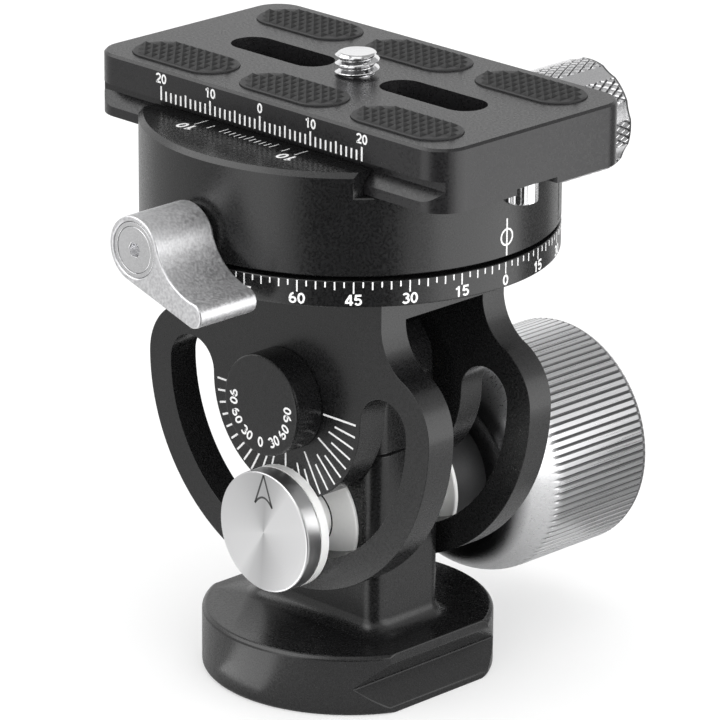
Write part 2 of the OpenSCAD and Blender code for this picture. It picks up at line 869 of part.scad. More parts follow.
// Body of the plate with a chamfer round its top edge.
module plate_blank() {
    w = plate_l - 2 * plate_r;
    h = plate_w - 2 * plate_r;
    c = plate_edge;
    translate([0, 0, plate_z]) linear_extrude(plate_h - c) rounded_rect(plate_l, plate_w, plate_r);
    for (x = [-1, 1])
        for (y = [-1, 1])
            translate([x * w / 2, y * h / 2, 0]) chamfered(plate_top - 2, plate_top, plate_r, 0, c);
    sweep_x(-w / 2, w / 2)
        polygon([[-plate_w / 2, plate_top - 2], [plate_w / 2, plate_top - 2], [plate_w / 2, plate_top - c],
            [plate_w / 2 - c, plate_top], [c - plate_w / 2, plate_top], [-plate_w / 2, plate_top - c]]);
    sweep_y(-h / 2, h / 2)
        polygon([[-plate_l / 2, plate_top - 2], [plate_l / 2, plate_top - 2], [plate_l / 2, plate_top - c],
            [plate_l / 2 - c, plate_top], [c - plate_l / 2, plate_top], [-plate_l / 2, plate_top - c]]);
}

module qr_plate() {
    color(grey)
        on_plate()
            difference() {
                plate_blank();
                plate_v();
                mirror([0, 1, 0]) plate_v();
                translate([-plate_l, -4, plate_z - 1]) cube([2 * plate_l, 8, groove_up + 1]);
                for (s = [-1, 1])
                    translate([s * slot_x, 0, plate_z - 1])
                        linear_extrude(plate_h + 2) obround(slot_l, slot_gap);
                for (x = [-1, 0, 1])
                    for (y = [-1, 1])
                        translate([x * pad_dx, y * pad_y, plate_top - pad_pocket])
                            linear_extrude(pad_pocket + 1) obround(pad_l + 0.1, pad_w + 0.1);
                for (s = [-1, 1])
                    translate([s * stop_x, 0, plate_z]) cylinder(h = 5.4, r = 1.5 + snug);
                translate([0, 0, plate_z - 1]) cylinder(h = 30, r = neck_d / 2 + run);
                translate([0, 0, plate_z - 1]) cylinder(h = head_z - plate_z + head_t + 1.2, r = pocket_r);
            }
}

module rubber_pads() {
    color(rubber)
        on_plate()
            for (x = [-1, 0, 1])
                for (y = [-1, 1])
                    translate([x * pad_dx, y * pad_y, plate_top - pad_pocket])
                        linear_extrude(pad_pocket + pad_up) obround(pad_l, pad_w);
}

module stop_screws() {
    color(bright)
        on_plate()
            for (s = [-1, 1])
                translate([s * stop_x, 0, 0]) {
                    chamfered(plate_z - stop_drop, plate_z + groove_up, stop_r, 0.3, 0);
                    translate([0, 0, plate_z]) cylinder(h = 5.2, r = 1.5);
                }
}

module camera_screw() {
    color(bright)
        on_plate()
            difference() {
                union() {
                    translate([0, 0, head_z]) cylinder(h = head_t, r = screw_head_d / 2);
                    translate([0, 0, head_z + 1]) cylinder(h = plate_top - head_z, r = neck_d / 2);
                    chamfered(plate_top + 0.1, plate_top + screw_up, screw_r, 0, 0.5);
                }
                translate([-screw_head_d, -0.8, head_z - 1]) cube([2 * screw_head_d, 1.6, 2]);
            }
}

module screw_circlip() {
    color(steel) on_plate() ring_up(plate_z + 0.1, plate_z + 0.9, pocket_r - snug, pocket_r - 1.5);
}

// Fluted round outline of the tilt knob.
module fluted_round() {
    difference() {
        circle(knob_r);
        for (i = [0 : knob_flutes - 1])
            rotate(360 / knob_flutes * i)
                translate([knob_r + flute_r - flute_depth, 0]) circle(flute_r, $fn = 24);
    }
}

module tilt_knob() {
    near = knob_y;
    color(silver)
        translate([0, 0, bolt_z])
            difference() {
                intersection() {
                    rotate([-90, 0, 0])
                        rotate_extrude() {
                            polygon([[0, grip_y - 0.5], [knob_r, grip_y - 0.5], [knob_r, knob_end - 0.8],
                                [knob_r - 0.8, knob_end], [0, knob_end]]);
                            intersection() {
                                translate([0, near]) square([knob_r, knob_shoulder]);
                                translate([knob_r - shoulder_r, grip_y]) circle(shoulder_r);
                            }
                        }
                    sweep_y(near - 1, knob_end + 1) fluted_round();
                }
                rod_y(near - 1, insert_y, collar_d / 2 + snug);
                rod_y(near, insert_end, insert_rim + snug);
                rod_y(knob_cap_y, knob_end + 1, knob_cap_r);
            }
}

module knob_collar() {
    color(grey) translate([0, 0, bolt_z]) ring_y(collar_y, insert_y, collar_d / 2, bolt_r + run);
}

module knob_insert() {
    color(brass) translate([0, 0, bolt_z]) ring_y(insert_y, insert_end, insert_rim, bolt_r + run);
}

module knob_cap() {
    color(silver) translate([0, 0, bolt_z]) rod_y(knob_cap_y, knob_end - 0.2, knob_cap_r - snug);
}

base_stem();
thread_insert();
pivot_axle();
tilt_bolt();
indicator_disc();
disc_washer();
slot_sleeves();
inner_washers();
knob_washer();
fork();
scale_ring();
pivot_cap_front();
pivot_cap_rear();
axle_bushes();
pan_spindle();
spindle_screw();
thrust_washer();
retainer_disc();
retainer_screw();
drum();
drum_bush();
bed_cover();
guide_pins();
pan_lever();
lever_stud();
lever_washer();
lever_screw();
brake_shoe();
moving_jaw();
clamp_washer();
clamp_knob();
clamp_screw();
clamp_cap();
qr_plate();
rubber_pads();
stop_screws();
camera_screw();
screw_circlip();
tilt_knob();
knob_collar();
knob_insert();
knob_cap();
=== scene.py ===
"""Looks of a monopod head: a camera plate in a dovetail clamp, on a panning drum, on a tilting fork."""

import logging
import math
from collections.abc import Callable
from dataclasses import dataclass, field
from enum import Enum

import bmesh
import bpy
import numpy as np
from mathutils import Matrix, Vector


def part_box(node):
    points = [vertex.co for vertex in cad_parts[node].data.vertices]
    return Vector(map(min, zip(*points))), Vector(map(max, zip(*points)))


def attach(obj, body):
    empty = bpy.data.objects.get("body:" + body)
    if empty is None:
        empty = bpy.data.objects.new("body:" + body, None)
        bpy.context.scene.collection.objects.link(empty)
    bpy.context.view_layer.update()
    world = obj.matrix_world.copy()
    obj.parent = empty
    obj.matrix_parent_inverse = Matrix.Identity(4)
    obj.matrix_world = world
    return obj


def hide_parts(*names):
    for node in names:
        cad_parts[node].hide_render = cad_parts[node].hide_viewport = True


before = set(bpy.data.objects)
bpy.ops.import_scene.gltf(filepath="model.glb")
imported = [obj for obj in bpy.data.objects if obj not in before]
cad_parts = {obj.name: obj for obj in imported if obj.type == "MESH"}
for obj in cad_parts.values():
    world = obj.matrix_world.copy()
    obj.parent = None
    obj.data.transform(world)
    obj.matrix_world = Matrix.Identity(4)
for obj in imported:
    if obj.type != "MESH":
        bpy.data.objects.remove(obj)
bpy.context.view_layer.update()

LOG = logging.getLogger("monopod_head")
MM = 0.001
TAU = 2 * math.pi
WHITE = (1.0, 1.0, 1.0, 1.0)
FLAT_EDGE = 8.0
Colour = tuple[float, float, float]
Pair = tuple[float, float]
Place = Callable[[np.ndarray], np.ndarray]


class Axis(Enum):
    """Direction that a turned piece is turned about."""

    Y = "y"
    Z = "z"


class Grain(Enum):
    """How the fine texture of a finish lies."""

    BLASTED = "even in all directions"
    TURNED = "rings about the Y axis"
    DRAWN = "streaks along Y"


@dataclass
class Shell:
    """Points in millimetres, faces over them by number of corners, and each point's amount of painted shade,
    which stands for shadow in a hollow.
    """

    points: np.ndarray
    faces: list[np.ndarray]
    groove: np.ndarray | None = None

    def __add__(self, other: "Shell") -> "Shell":
        """Both shells as one.

        Args:
            other: The shell to add.

        Returns:
            A shell with the points and faces of both.
        """
        shift = len(self.points)
        points = np.concatenate([self.points, other.points])
        deep = None
        if self.groove is not None and other.groove is not None:
            deep = np.concatenate([self.groove.ravel(), other.groove.ravel()])
        return Shell(points, self.faces + [f + shift for f in other.faces], deep)

    def laid(self, place: Place) -> "Shell":
        """The same faces over the points as the place function moves them."""
        return Shell(place(self.points), self.faces, self.groove)


def feed(made: bpy.types.Node, values: dict[str | int, object]) -> None:
    """Set a node's inputs: another node's socket is linked, any other value is written on the socket.

    Args:
        made: The node.
        values: Values by name or number of the input socket.
    """
    for key, value in values.items():
        if isinstance(value, bpy.types.NodeSocket):
            made.id_data.links.new(value, made.inputs[key])
        else:
            made.inputs[key].default_value = value


def add_node(tree: bpy.types.NodeTree, kind: str, values: dict[str | int, object],
             **settings: str) -> bpy.types.Node:
    """Add a shader node with its settings and inputs.

    Args:
        tree: Node tree that it joins.
        kind: Type of the node without the common prefix.
        values: Values by name or number of the input socket.
        settings: Properties of the node itself, set first.

    Returns:
        The new node.
    """
    made = tree.nodes.new("ShaderNode" + kind)
    for name, value in settings.items():
        setattr(made, name, value)
    feed(made, values)
    return made


@dataclass(frozen=True)
class Finish:
    """A surface with two tones mixed by a fine grain, which also sets its gloss and its relief."""

    name: str
    dark: Colour
    light: Colour
    rough: Pair
    metallic: float = 0.0
    grain_mm: float = 0.22
    relief: float = 0.05
    relief_mm: float = 0.05
    mottle_mm: float = 9.0
    specular: float = 0.5
    share: float = 0.5
    grain: Grain = Grain.BLASTED
    # Colour of painted shade, mixed in by the mesh's painted shade attribute to stand for shadow in hollows.
    groove: Colour | None = None
    centre_mm: Colour = (0.0, 0.0, 0.0)
    contrast: Pair = (0.34, 0.66)
    streak: float = 0.02
    # Place round the turn and tone of each stop of the painted wedge highlight on a turned face.
    wedges: tuple[Pair, ...] = ((0.0, 0.85), (0.10, 1.0), (0.30, 1.0), (0.38, 0.35), (0.48, 0.0),
                                (0.75, 0.55), (1.0, 0.85))

    def material(self) -> bpy.types.Material:
        """Build the node material once and hand back the same one after that.

        Returns:
            The material of this finish.
        """
        found = bpy.data.materials.get(self.name)
        if found:
            return found
        made = bpy.data.materials.new(self.name)
        made.use_nodes = True
        tree = made.node_tree
        fine = self._fine(tree)
        tone = add_node(tree, "Mix", {"Factor": self.share, "A": fine, "B": self._broad(tree)})
        colour = add_node(tree, "Mix", {
            "Factor": tone.outputs["Result"],
            "A": (*self.dark, 1.0),
            "B": (*self.light, 1.0),
        }, data_type="RGBA")
        gloss = add_node(tree, "MapRange", {"Value": fine, "To Min": self.rough[0], "To Max": self.rough[1]})
        bump = add_node(tree, "Bump", {
            "Strength": self.relief,
            "Distance": self.relief_mm * MM,
            "Height": fine,
        })
        feed(tree.nodes["Principled BSDF"], {
            "Base Color": self._grooved(tree, colour.outputs["Result"]),
            "Metallic": self.metallic,
            "Specular IOR Level": self.specular,
            "Roughness": gloss.outputs["Result"],
            "Normal": bump.outputs["Normal"],
        })
        return made

    def _broad(self, tree: bpy.types.NodeTree) -> bpy.types.NodeSocket:
        """Slow change of tone: a painted wedge highlight on a turned face, and otherwise a soft mottle.

        Args:
            tree: Node tree of the material.

        Returns:
            Socket with the change from 0 to 1.
        """
        if self.grain is Grain.TURNED:
            return self._sheen(tree)
        return self._noise(tree, self._coords(tree), self.mottle_mm, 2.0)

    def _sheen(self, tree: bpy.types.NodeTree) -> bpy.types.NodeSocket:
        """Painted highlight of a turned face, in place of the lamps' reflection: the angle about the Y axis,
        counted twice round, runs through a ramp of light and dark wedge tones.

        Args:
            tree: Node tree of the material.

        Returns:
            Socket with the painted highlight from 0 to 1.
        """
        parts = add_node(tree, "SeparateXYZ", {"Vector": self._coords(tree)})
        flat = add_node(tree, "CombineXYZ", {"X": parts.outputs["X"], "Y": parts.outputs["Z"]})
        angle = add_node(tree, "TexGradient", {"Vector": flat.outputs["Vector"]}, gradient_type="RADIAL")
        twice = add_node(tree, "Math", {0: angle.outputs["Fac"], 1: 2.0}, operation="MULTIPLY")
        turn = add_node(tree, "Math", {0: twice.outputs["Value"]}, operation="FRACT")
        ramp = add_node(tree, "ValToRGB", {"Fac": turn.outputs["Value"]})
        stops = ramp.color_ramp.elements
        for at, _ in self.wedges[1:-1]:
            stops.new(at)
        for stop, (_, tone) in zip(stops, self.wedges):
            stop.color = (tone, tone, tone, 1.0)
        return ramp.outputs["Color"]

    def _grooved(self, tree: bpy.types.NodeTree, tone: bpy.types.NodeSocket) -> bpy.types.NodeSocket:
        """Tone darkened towards the painted shade colour where the mesh's own painted shade attribute says
        so; the darkening stands for shadow in hollows.

        Args:
            tree: Node tree of the material.
            tone: Socket with the plain colour.

        Returns:
            Socket with the colour.
        """
        if self.groove is None:
            return tone
        deep = add_node(tree, "Attribute", {}, attribute_name="groove")
        mix = add_node(tree, "Mix", {"Factor": deep.outputs["Fac"], "A": tone, "B": (*self.groove, 1.0)},
                       data_type="RGBA")
        return mix.outputs["Result"]

    def _coords(self, tree: bpy.types.NodeTree) -> bpy.types.NodeSocket:
        """Object coordinates moved so that the finish is centred on its piece, drawn out along Y for streaks.

        Args:
            tree: Node tree of the material.

        Returns:
            Socket with the coordinates.
        """
        move = add_node(tree, "Mapping", {
            "Vector": add_node(tree, "TexCoord", {}).outputs["Object"],
            "Location": [-c * MM for c in self.centre_mm],
            "Scale": (1.0, self.streak if self.grain is Grain.DRAWN else 1.0, 1.0),
        })
        return move.outputs["Vector"]

    def _noise(self, tree: bpy.types.NodeTree, vector: bpy.types.NodeSocket, size_mm: float,
               detail: float) -> bpy.types.NodeSocket:
        """Smooth noise from 0 to 1, of a given size and detail."""
        values = {"Vector": vector, "Scale": 1.0 / (size_mm * MM), "Detail": detail}
        return add_node(tree, "TexNoise", values).outputs["Fac"]

    def _fine(self, tree: bpy.types.NodeTree) -> bpy.types.NodeSocket:
        """Fine noise in space, or noise by the distance from the Y axis alone, spread in contrast.

        Args:
            tree: Node tree of the material.

        Returns:
            Socket with the grain from 0 to 1.
        """
        vector = self._coords(tree)
        if self.grain is Grain.TURNED:
            flat = add_node(tree, "VectorMath", {0: vector, 1: (1.0, 0.0, 1.0)}, operation="MULTIPLY")
            length = add_node(tree, "VectorMath", {0: flat.outputs["Vector"]}, operation="LENGTH")
            vector = add_node(tree, "CombineXYZ", {"X": length.outputs["Value"]}).outputs["Vector"]
        grain = self._noise(tree, vector, self.grain_mm, 3.0)
        spread = add_node(tree, "MapRange", {
            "Value": grain,
            "From Min": self.contrast[0],
            "From Max": self.contrast[1],
        })
        return spread.outputs["Result"]


BLACK = Finish("black_blasted_anodise", (0.003, 0.003, 0.0032), (0.012, 0.012, 0.0125), (0.22, 0.34),
               specular=0.62, grain_mm=0.35, relief=0.04)
DARK_PLATE = Finish("plate_blasted_anodise", (0.007, 0.0067, 0.0073), (0.015, 0.0146, 0.0155), (0.24, 0.38),
                    specular=0.52, grain_mm=0.35)
DARK_GREY = Finish("dark_grey_metal", (0.03, 0.03, 0.031), (0.055, 0.055, 0.056), (0.35, 0.5), 0.6)
SILVER = Finish("silver_blasted_alloy", (0.62, 0.62, 0.63), (0.95, 0.95, 0.96), (0.36, 0.50), 1.0,
                grain_mm=0.4, relief=0.12)
# Its painted shade colour darkens the flutes, the rim line and the shoulder's foot in place of shadow.
KNOB_SILVER = Finish("silver_turned_knob", (0.76, 0.76, 0.77), (0.90, 0.90, 0.91), (0.26, 0.36), 1.0,
                     grain=Grain.DRAWN, relief=0.02, groove=(0.10, 0.10, 0.103))
BRIGHT = Finish("bright_plain_alloy", (0.80, 0.80, 0.81), (0.92, 0.92, 0.93), (0.14, 0.24), 1.0, relief=0.04)
# Its painted shade colour darkens the knurl's valleys and the band at the far end in place of shadow.
KNURLED = Finish("bright_knurled_alloy", (0.80, 0.80, 0.81), (0.92, 0.92, 0.93), (0.16, 0.26), 1.0,
                 relief=0.04, groove=(0.05, 0.05, 0.052))
CHROME = Finish("polished_steel_thread", (0.78, 0.78, 0.79), (0.90, 0.90, 0.91), (0.08, 0.15), 1.0,
                relief=0.02)
STEEL = Finish("plain_steel_pin", (0.42, 0.43, 0.45), (0.58, 0.59, 0.61), (0.22, 0.36), 1.0,
               grain=Grain.DRAWN)
BRASS = Finish("brass_plain_bush", (0.48, 0.33, 0.12), (0.66, 0.49, 0.22), (0.25, 0.40), 1.0)
NYLON = Finish("white_nylon_washer", (0.92, 0.92, 0.91), (0.96, 0.96, 0.95), (0.34, 0.48), grain_mm=0.6,
               relief=0.04)
# Its painted shade colour darkens the valleys between the pads' points in place of shadow.
RUBBER = Finish("black_moulded_rubber", (0.016, 0.016, 0.016), (0.034, 0.034, 0.035), (0.42, 0.60),
                grain_mm=0.15, groove=(0.003, 0.003, 0.003))
WHITE_INK = Finish("white_dial_ink", (0.84, 0.84, 0.84), (0.92, 0.92, 0.92), (0.45, 0.60), grain_mm=0.10,
                   relief=0.03)
DARK_LINE = Finish("dark_engraved_line", (0.03, 0.03, 0.03), (0.07, 0.07, 0.07), (0.45, 0.60), grain_mm=0.08)


def disc_finish(centre_mm: Colour) -> Finish:
    """Turned silver face whose fine rings and painted wedge highlight run round the centre of the disc."""
    # The share gives most of the disc's tone to the painted highlight.
    return Finish("silver_turned_disc", (0.56, 0.56, 0.565), (0.97, 0.97, 0.975), (0.32, 0.40), 1.0,
                  grain_mm=0.10, relief=0.008, share=0.88, grain=Grain.TURNED, centre_mm=centre_mm)


def span(node: str) -> tuple[np.ndarray, np.ndarray]:
    """Lowest and highest corner of a CAD node in millimetres."""
    low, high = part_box(node)
    return np.array(low) / MM, np.array(high) / MM


def round_about_y(node: str) -> tuple[float, float, float, Pair]:
    """Near end, far end, radius, and axis in X and Z of a CAD node that is round about Y."""
    low, high = span(node)
    return low[1], high[1], (high[0] - low[0]) / 2, ((low[0] + high[0]) / 2, (low[2] + high[2]) / 2)


def band(inner: float, outer: float, near: float, far: float) -> list[Pair]:
    """Corners of a plain ring's profile, or of a disc's where the inner radius is zero."""
    return [(inner, near), (outer, near), (outer, far), (inner, far)]


def graded(places: np.ndarray, steps: Pair, values: tuple[float, float, float]) -> np.ndarray:
    """One of three values for each place: on the coarse step, on the fine step, or between.

    Args:
        places: Places on a scale.
        steps: Coarse and fine step.
        values: Value for each of the three.

    Returns:
        Array of values.
    """
    coarse, fine = (np.isclose(places % step, 0) for step in steps)
    return np.where(coarse, values[0], np.where(fine, values[1], values[2]))


def grid(points: np.ndarray, close_u: bool = True, close_v: bool = False) -> Shell:
    """Quads over a two-parameter grid of points.

    Args:
        points: Array of shape (u, v, 3).
        close_u: Whether the last row joins the first.
        close_v: Whether the last column joins the first.

    Returns:
        The shell over the grid.
    """
    rows, cols = points.shape[:2]
    u, v = np.meshgrid(np.arange(rows - (not close_u)), np.arange(cols - (not close_v)), indexing="ij")
    nu, nv = (u + 1) % rows, (v + 1) % cols
    quads = np.stack([u * cols + v, nu * cols + v, nu * cols + nv, u * cols + nv], -1)
    return Shell(points.reshape(-1, 3), [quads.reshape(-1, 4)])


def lathe(radius: np.ndarray, along: np.ndarray, axis: Axis, centre: Pair, turn: np.ndarray | None = None,
          loop: bool = False) -> Shell:
    """Profile carried round an axis: a point lies at its radius times cosine and sine of the turn.

    Args:
        radius: Radii of shape (stations,) or (turns, stations).
        along: Places along the axis, broadcast against the radii.
        axis: Axis of the turn.
        centre: Where the axis crosses the plane across it.
        turn: Angles in radians, or none for even steps.
        loop: Whether the profile is closed in itself.

    Returns:
        The turned shell.
    """
    turn = np.linspace(0, TAU, 160, endpoint=False) if turn is None else turn
    radius, along, angle = np.broadcast_arrays(radius, along, turn[:, None])
    across = centre[0] + radius * np.cos(angle)
    rise = centre[1] + radius * np.sin(angle)
    parts = (across, rise, along) if axis is Axis.Z else (across, along, rise)
    return grid(np.stack(parts, -1), True, loop)


def bend(first: np.ndarray, middle: np.ndarray, last: np.ndarray, bits: int) -> np.ndarray:
    """Quadratic curve between two points, which leaves and arrives along the lines to the middle one."""
    t = np.linspace(0, 1, bits)[:, None]
    return (1 - t) ** 2 * first + 2 * t * (1 - t) * middle + t ** 2 * last


def eased(corners: list[Pair], ease: float, loop: bool = True, bits: int = 4) -> np.ndarray:
    """Corner points with each corner rounded by a quadratic curve between a cut before it and a cut after it.

    Args:
        corners: Points of the outline or profile.
        ease: Distance from the corner to each cut, at most nine twentieths of the side.
        loop: Whether the outline is closed; an open one keeps its two ends.
        bits: Points on each rounded corner.

    Returns:
        Array of points, two columns.
    """
    points = np.array(corners, float)
    cuts = []
    for turn in (1, -1):
        side = np.roll(points, turn, 0) - points
        length = np.linalg.norm(side, axis=1, keepdims=True)
        cuts.append(points + side / length * np.minimum(ease, 0.45 * length))
    curve = bend(cuts[0][:, None], points[:, None], cuts[1][:, None], bits)
    if loop:
        return curve.reshape(-1, 2)
    return np.concatenate([points[:1], curve[1:-1].reshape(-1, 2), points[-1:]])


def turned(corners: list[Pair], ease: float, axis: Axis, centre: Pair, loop: bool = False) -> Shell:
    """Eased profile of (radius, place) corners carried round an axis."""
    profile = eased(corners, ease, loop)
    return lathe(profile[:, 0], profile[:, 1], axis, centre, loop=loop)


def flat_place(origin: Colour, right: Colour = (1, 0, 0), up: Colour = (0, 0, 1)) -> Place:
    """Map of (right, up, out) onto a flat face, by default one that looks to -Y.

    Args:
        origin: Where the marks are centred, in millimetres.
        right: Reading direction.
        up: Direction of the tops of the marks.

    Returns:
        Function that moves points there.
    """
    rows = np.array([right, up, np.cross(right, up)], float)
    return lambda points: np.array(origin) + points @ rows


def round_place(radius: float, height: float, start: float) -> Place:
    """Map of (right, up, out) round a drum: right is an arc from the +X side, out adds to the radius.

    Args:
        radius: Radius of the drum.
        height: Height of the foot of the marks.
        start: Turn of the zero mark in degrees.

    Returns:
        Function that wraps points round the drum.
    """

    def place(points: np.ndarray) -> np.ndarray:
        """Points wrapped round the drum."""
        angle = points[:, 0] / radius + math.radians(start)
        reach = radius + points[:, 2]
        return np.stack([reach * np.cos(angle), reach * np.sin(angle), height + points[:, 1]], -1)

    return place


def arc(x: float, y: float, across: float, tall: float, first: float, last: float) -> np.ndarray:
    """Points on an ellipse about (x, y) from one angle to another, in degrees."""
    angle = np.radians(np.linspace(first, last, 15))
    return np.stack([x + across * np.cos(angle), y + tall * np.sin(angle)], -1)


def oval(x: float, y: float, across: float, tall: float) -> np.ndarray:
    """Points of a whole ellipse, without the last one that would meet the first."""
    return arc(x, y, across, tall, 0.0, 336.0)


def digit_strokes(digit: str) -> list[tuple[np.ndarray, bool]]:
    """Middle lines of a digit's strokes, one unit tall about x = 0: straight lines and parts of ellipses.

    Args:
        digit: One digit.

    Returns:
        Each stroke's points, and whether it closes on itself.
    """
    low, high = 0.08, 0.92
    six = [(oval(0.0, 0.31, 0.23, 0.23), True), (arc(0.08, 0.36, 0.31, 0.56, 92, 186), False)]
    lines = {
        "1": [[(0.06, 0.0), (0.06, 1.0)], [(0.06, 0.86), (-0.20, 0.74)]],
        "2": [[(0.20, 0.56), (-0.24, low)], [(-0.30, low), (0.30, low)]],
        "4": [[(0.12, 0.0), (0.12, 1.0)], [(0.10, 0.96), (-0.26, 0.30)], [(-0.32, 0.26), (0.30, 0.26)]],
        "5": [[(0.26, high), (-0.20, high)], [(-0.15, 0.96), (-0.21, 0.46)]],
        "7": [[(-0.30, high), (0.29, high)], [(0.22, high), (-0.08, 0.0)]],
    }
    curves = {
        "0": [(oval(0.0, 0.5, 0.22, 0.42), True)],
        "2": [(arc(0.0, 0.70, 0.23, 0.22, 170, -40), False)],
        "3": [(arc(0.0, 0.72, 0.21, 0.20, 155, -90), False), (arc(0.0, 0.29, 0.24, 0.22, 90, -155), False)],
        "5": [(arc(0.0, 0.33, 0.23, 0.25, 140, -150), False)],
        "6": six,
        "8": [(oval(0.0, 0.73, 0.20, 0.19), True), (oval(0.0, 0.29, 0.23, 0.21), True)],
        "9": [(np.array([0.0, 1.0]) - path, closed) for path, closed in six],
    }
    return [(np.array(line, float), False) for line in lines.get(digit, [])] + curves.get(digit, [])


@dataclass
class Marks:
    """Printed marks in (right, up, out) millimetres, gathered as thin raised shells."""

    lift: float = 0.03
    advance: float = 0.78
    stroke: float = 0.19
    wide: float = 1.15
    shells: list[Shell] = field(default_factory=list)

    def bars(self, centre: np.ndarray, size: np.ndarray, lean: np.ndarray | float = 0.0) -> None:
        """Add thin bars: each is a unit box scaled to its size, turned by its lean and moved to its centre.

        Args:
            centre: Centres of shape (bars, 2).
            size: Width and height of each bar, broadcast to (bars, 2).
            lean: Turn of each bar in radians.
        """
        count = len(centre)
        ends = [-0.5, 0.5]
        unit = np.stack(np.meshgrid(ends, ends, [-1.0, 1.0], indexing="ij"), -1).reshape(8, 3)
        local = unit[None, :, :2] * np.broadcast_to(size, (count, 2))[:, None]
        lean = np.broadcast_to(lean, (count,))[:, None]
        right = local[..., 0] * np.cos(lean) - local[..., 1] * np.sin(lean) + centre[:, None, 0]
        up = local[..., 0] * np.sin(lean) + local[..., 1] * np.cos(lean) + centre[:, None, 1]
        out = np.broadcast_to(unit[:, 2] * self.lift, right.shape)
        sides = np.array([[0, 1, 3, 2], [4, 6, 7, 5], [0, 4, 5, 1], [2, 3, 7, 6], [0, 2, 6, 4], [1, 5, 7, 3]])
        faces = (sides[None] + 8 * np.arange(count)[:, None, None]).reshape(-1, 4)
        self.shells.append(Shell(np.stack([right, up, out], -1).reshape(-1, 3), [faces]))

    def ticks(self, places: np.ndarray, tall: np.ndarray, line: float, up: int = -1) -> None:
        """Add upright ticks that hang from the base line of a scale, or stand on it where up is 1."""
        self.bars(np.stack([places, up * tall / 2], -1), np.stack([np.full_like(tall, line), tall], -1))

    def ribbon(self, path: np.ndarray, width: float, closed: bool = False) -> None:
        """Add a thin line along a path: a small rectangle carried along it, set out by the path's own normal.

        Args:
            path: Points of shape (points, 2).
            width: Width of the line.
            closed: Whether the path joins its own start.
        """
        step = np.roll(path, -1, 0) - np.roll(path, 1, 0) if closed else np.gradient(path, axis=0)
        normal = np.stack([-step[:, 1], step[:, 0]], -1) / np.linalg.norm(step, axis=1, keepdims=True)
        side = np.array([-0.5, 0.5, 0.5, -0.5]) * width
        level = np.array([-1.0, -1.0, 1.0, 1.0]) * self.lift
        flat = path[:, None] + normal[:, None] * side[None, :, None]
        points = np.concatenate([flat, np.broadcast_to(level[None, :, None], flat.shape[:2] + (1,))], -1)
        shell = grid(points, closed, True)
        if not closed:
            shell.faces.append(np.arange(4)[None] + np.array([[0], [4 * (len(path) - 1)]]))
        self.shells.append(shell)

    def number(self, value: int, at: Pair, tall: float, lean: float = 0.0) -> None:
        """Add a plain number as thin ribbons along the strokes of its digits.

        Args:
            value: The number.
            at: Centre of the number.
            tall: Height of a digit.
            lean: Turn of the number in radians.
        """
        digits = str(value)
        turn = np.array([[math.cos(lean), math.sin(lean)], [-math.sin(lean), math.cos(lean)]])
        for place, digit in enumerate(digits):
            shift = np.array([(place - (len(digits) - 1) / 2) * self.advance, -0.5])
            for path, closed in digit_strokes(digit):
                line = (path * (self.wide, 1.0) + shift) * tall @ turn + np.array(at)
                self.ribbon(line, self.stroke * tall, closed)

    def laid(self, place: Place) -> Shell:
        """All marks as one shell on a face."""
        return sum(self.shells[1:], self.shells[0]).laid(place)


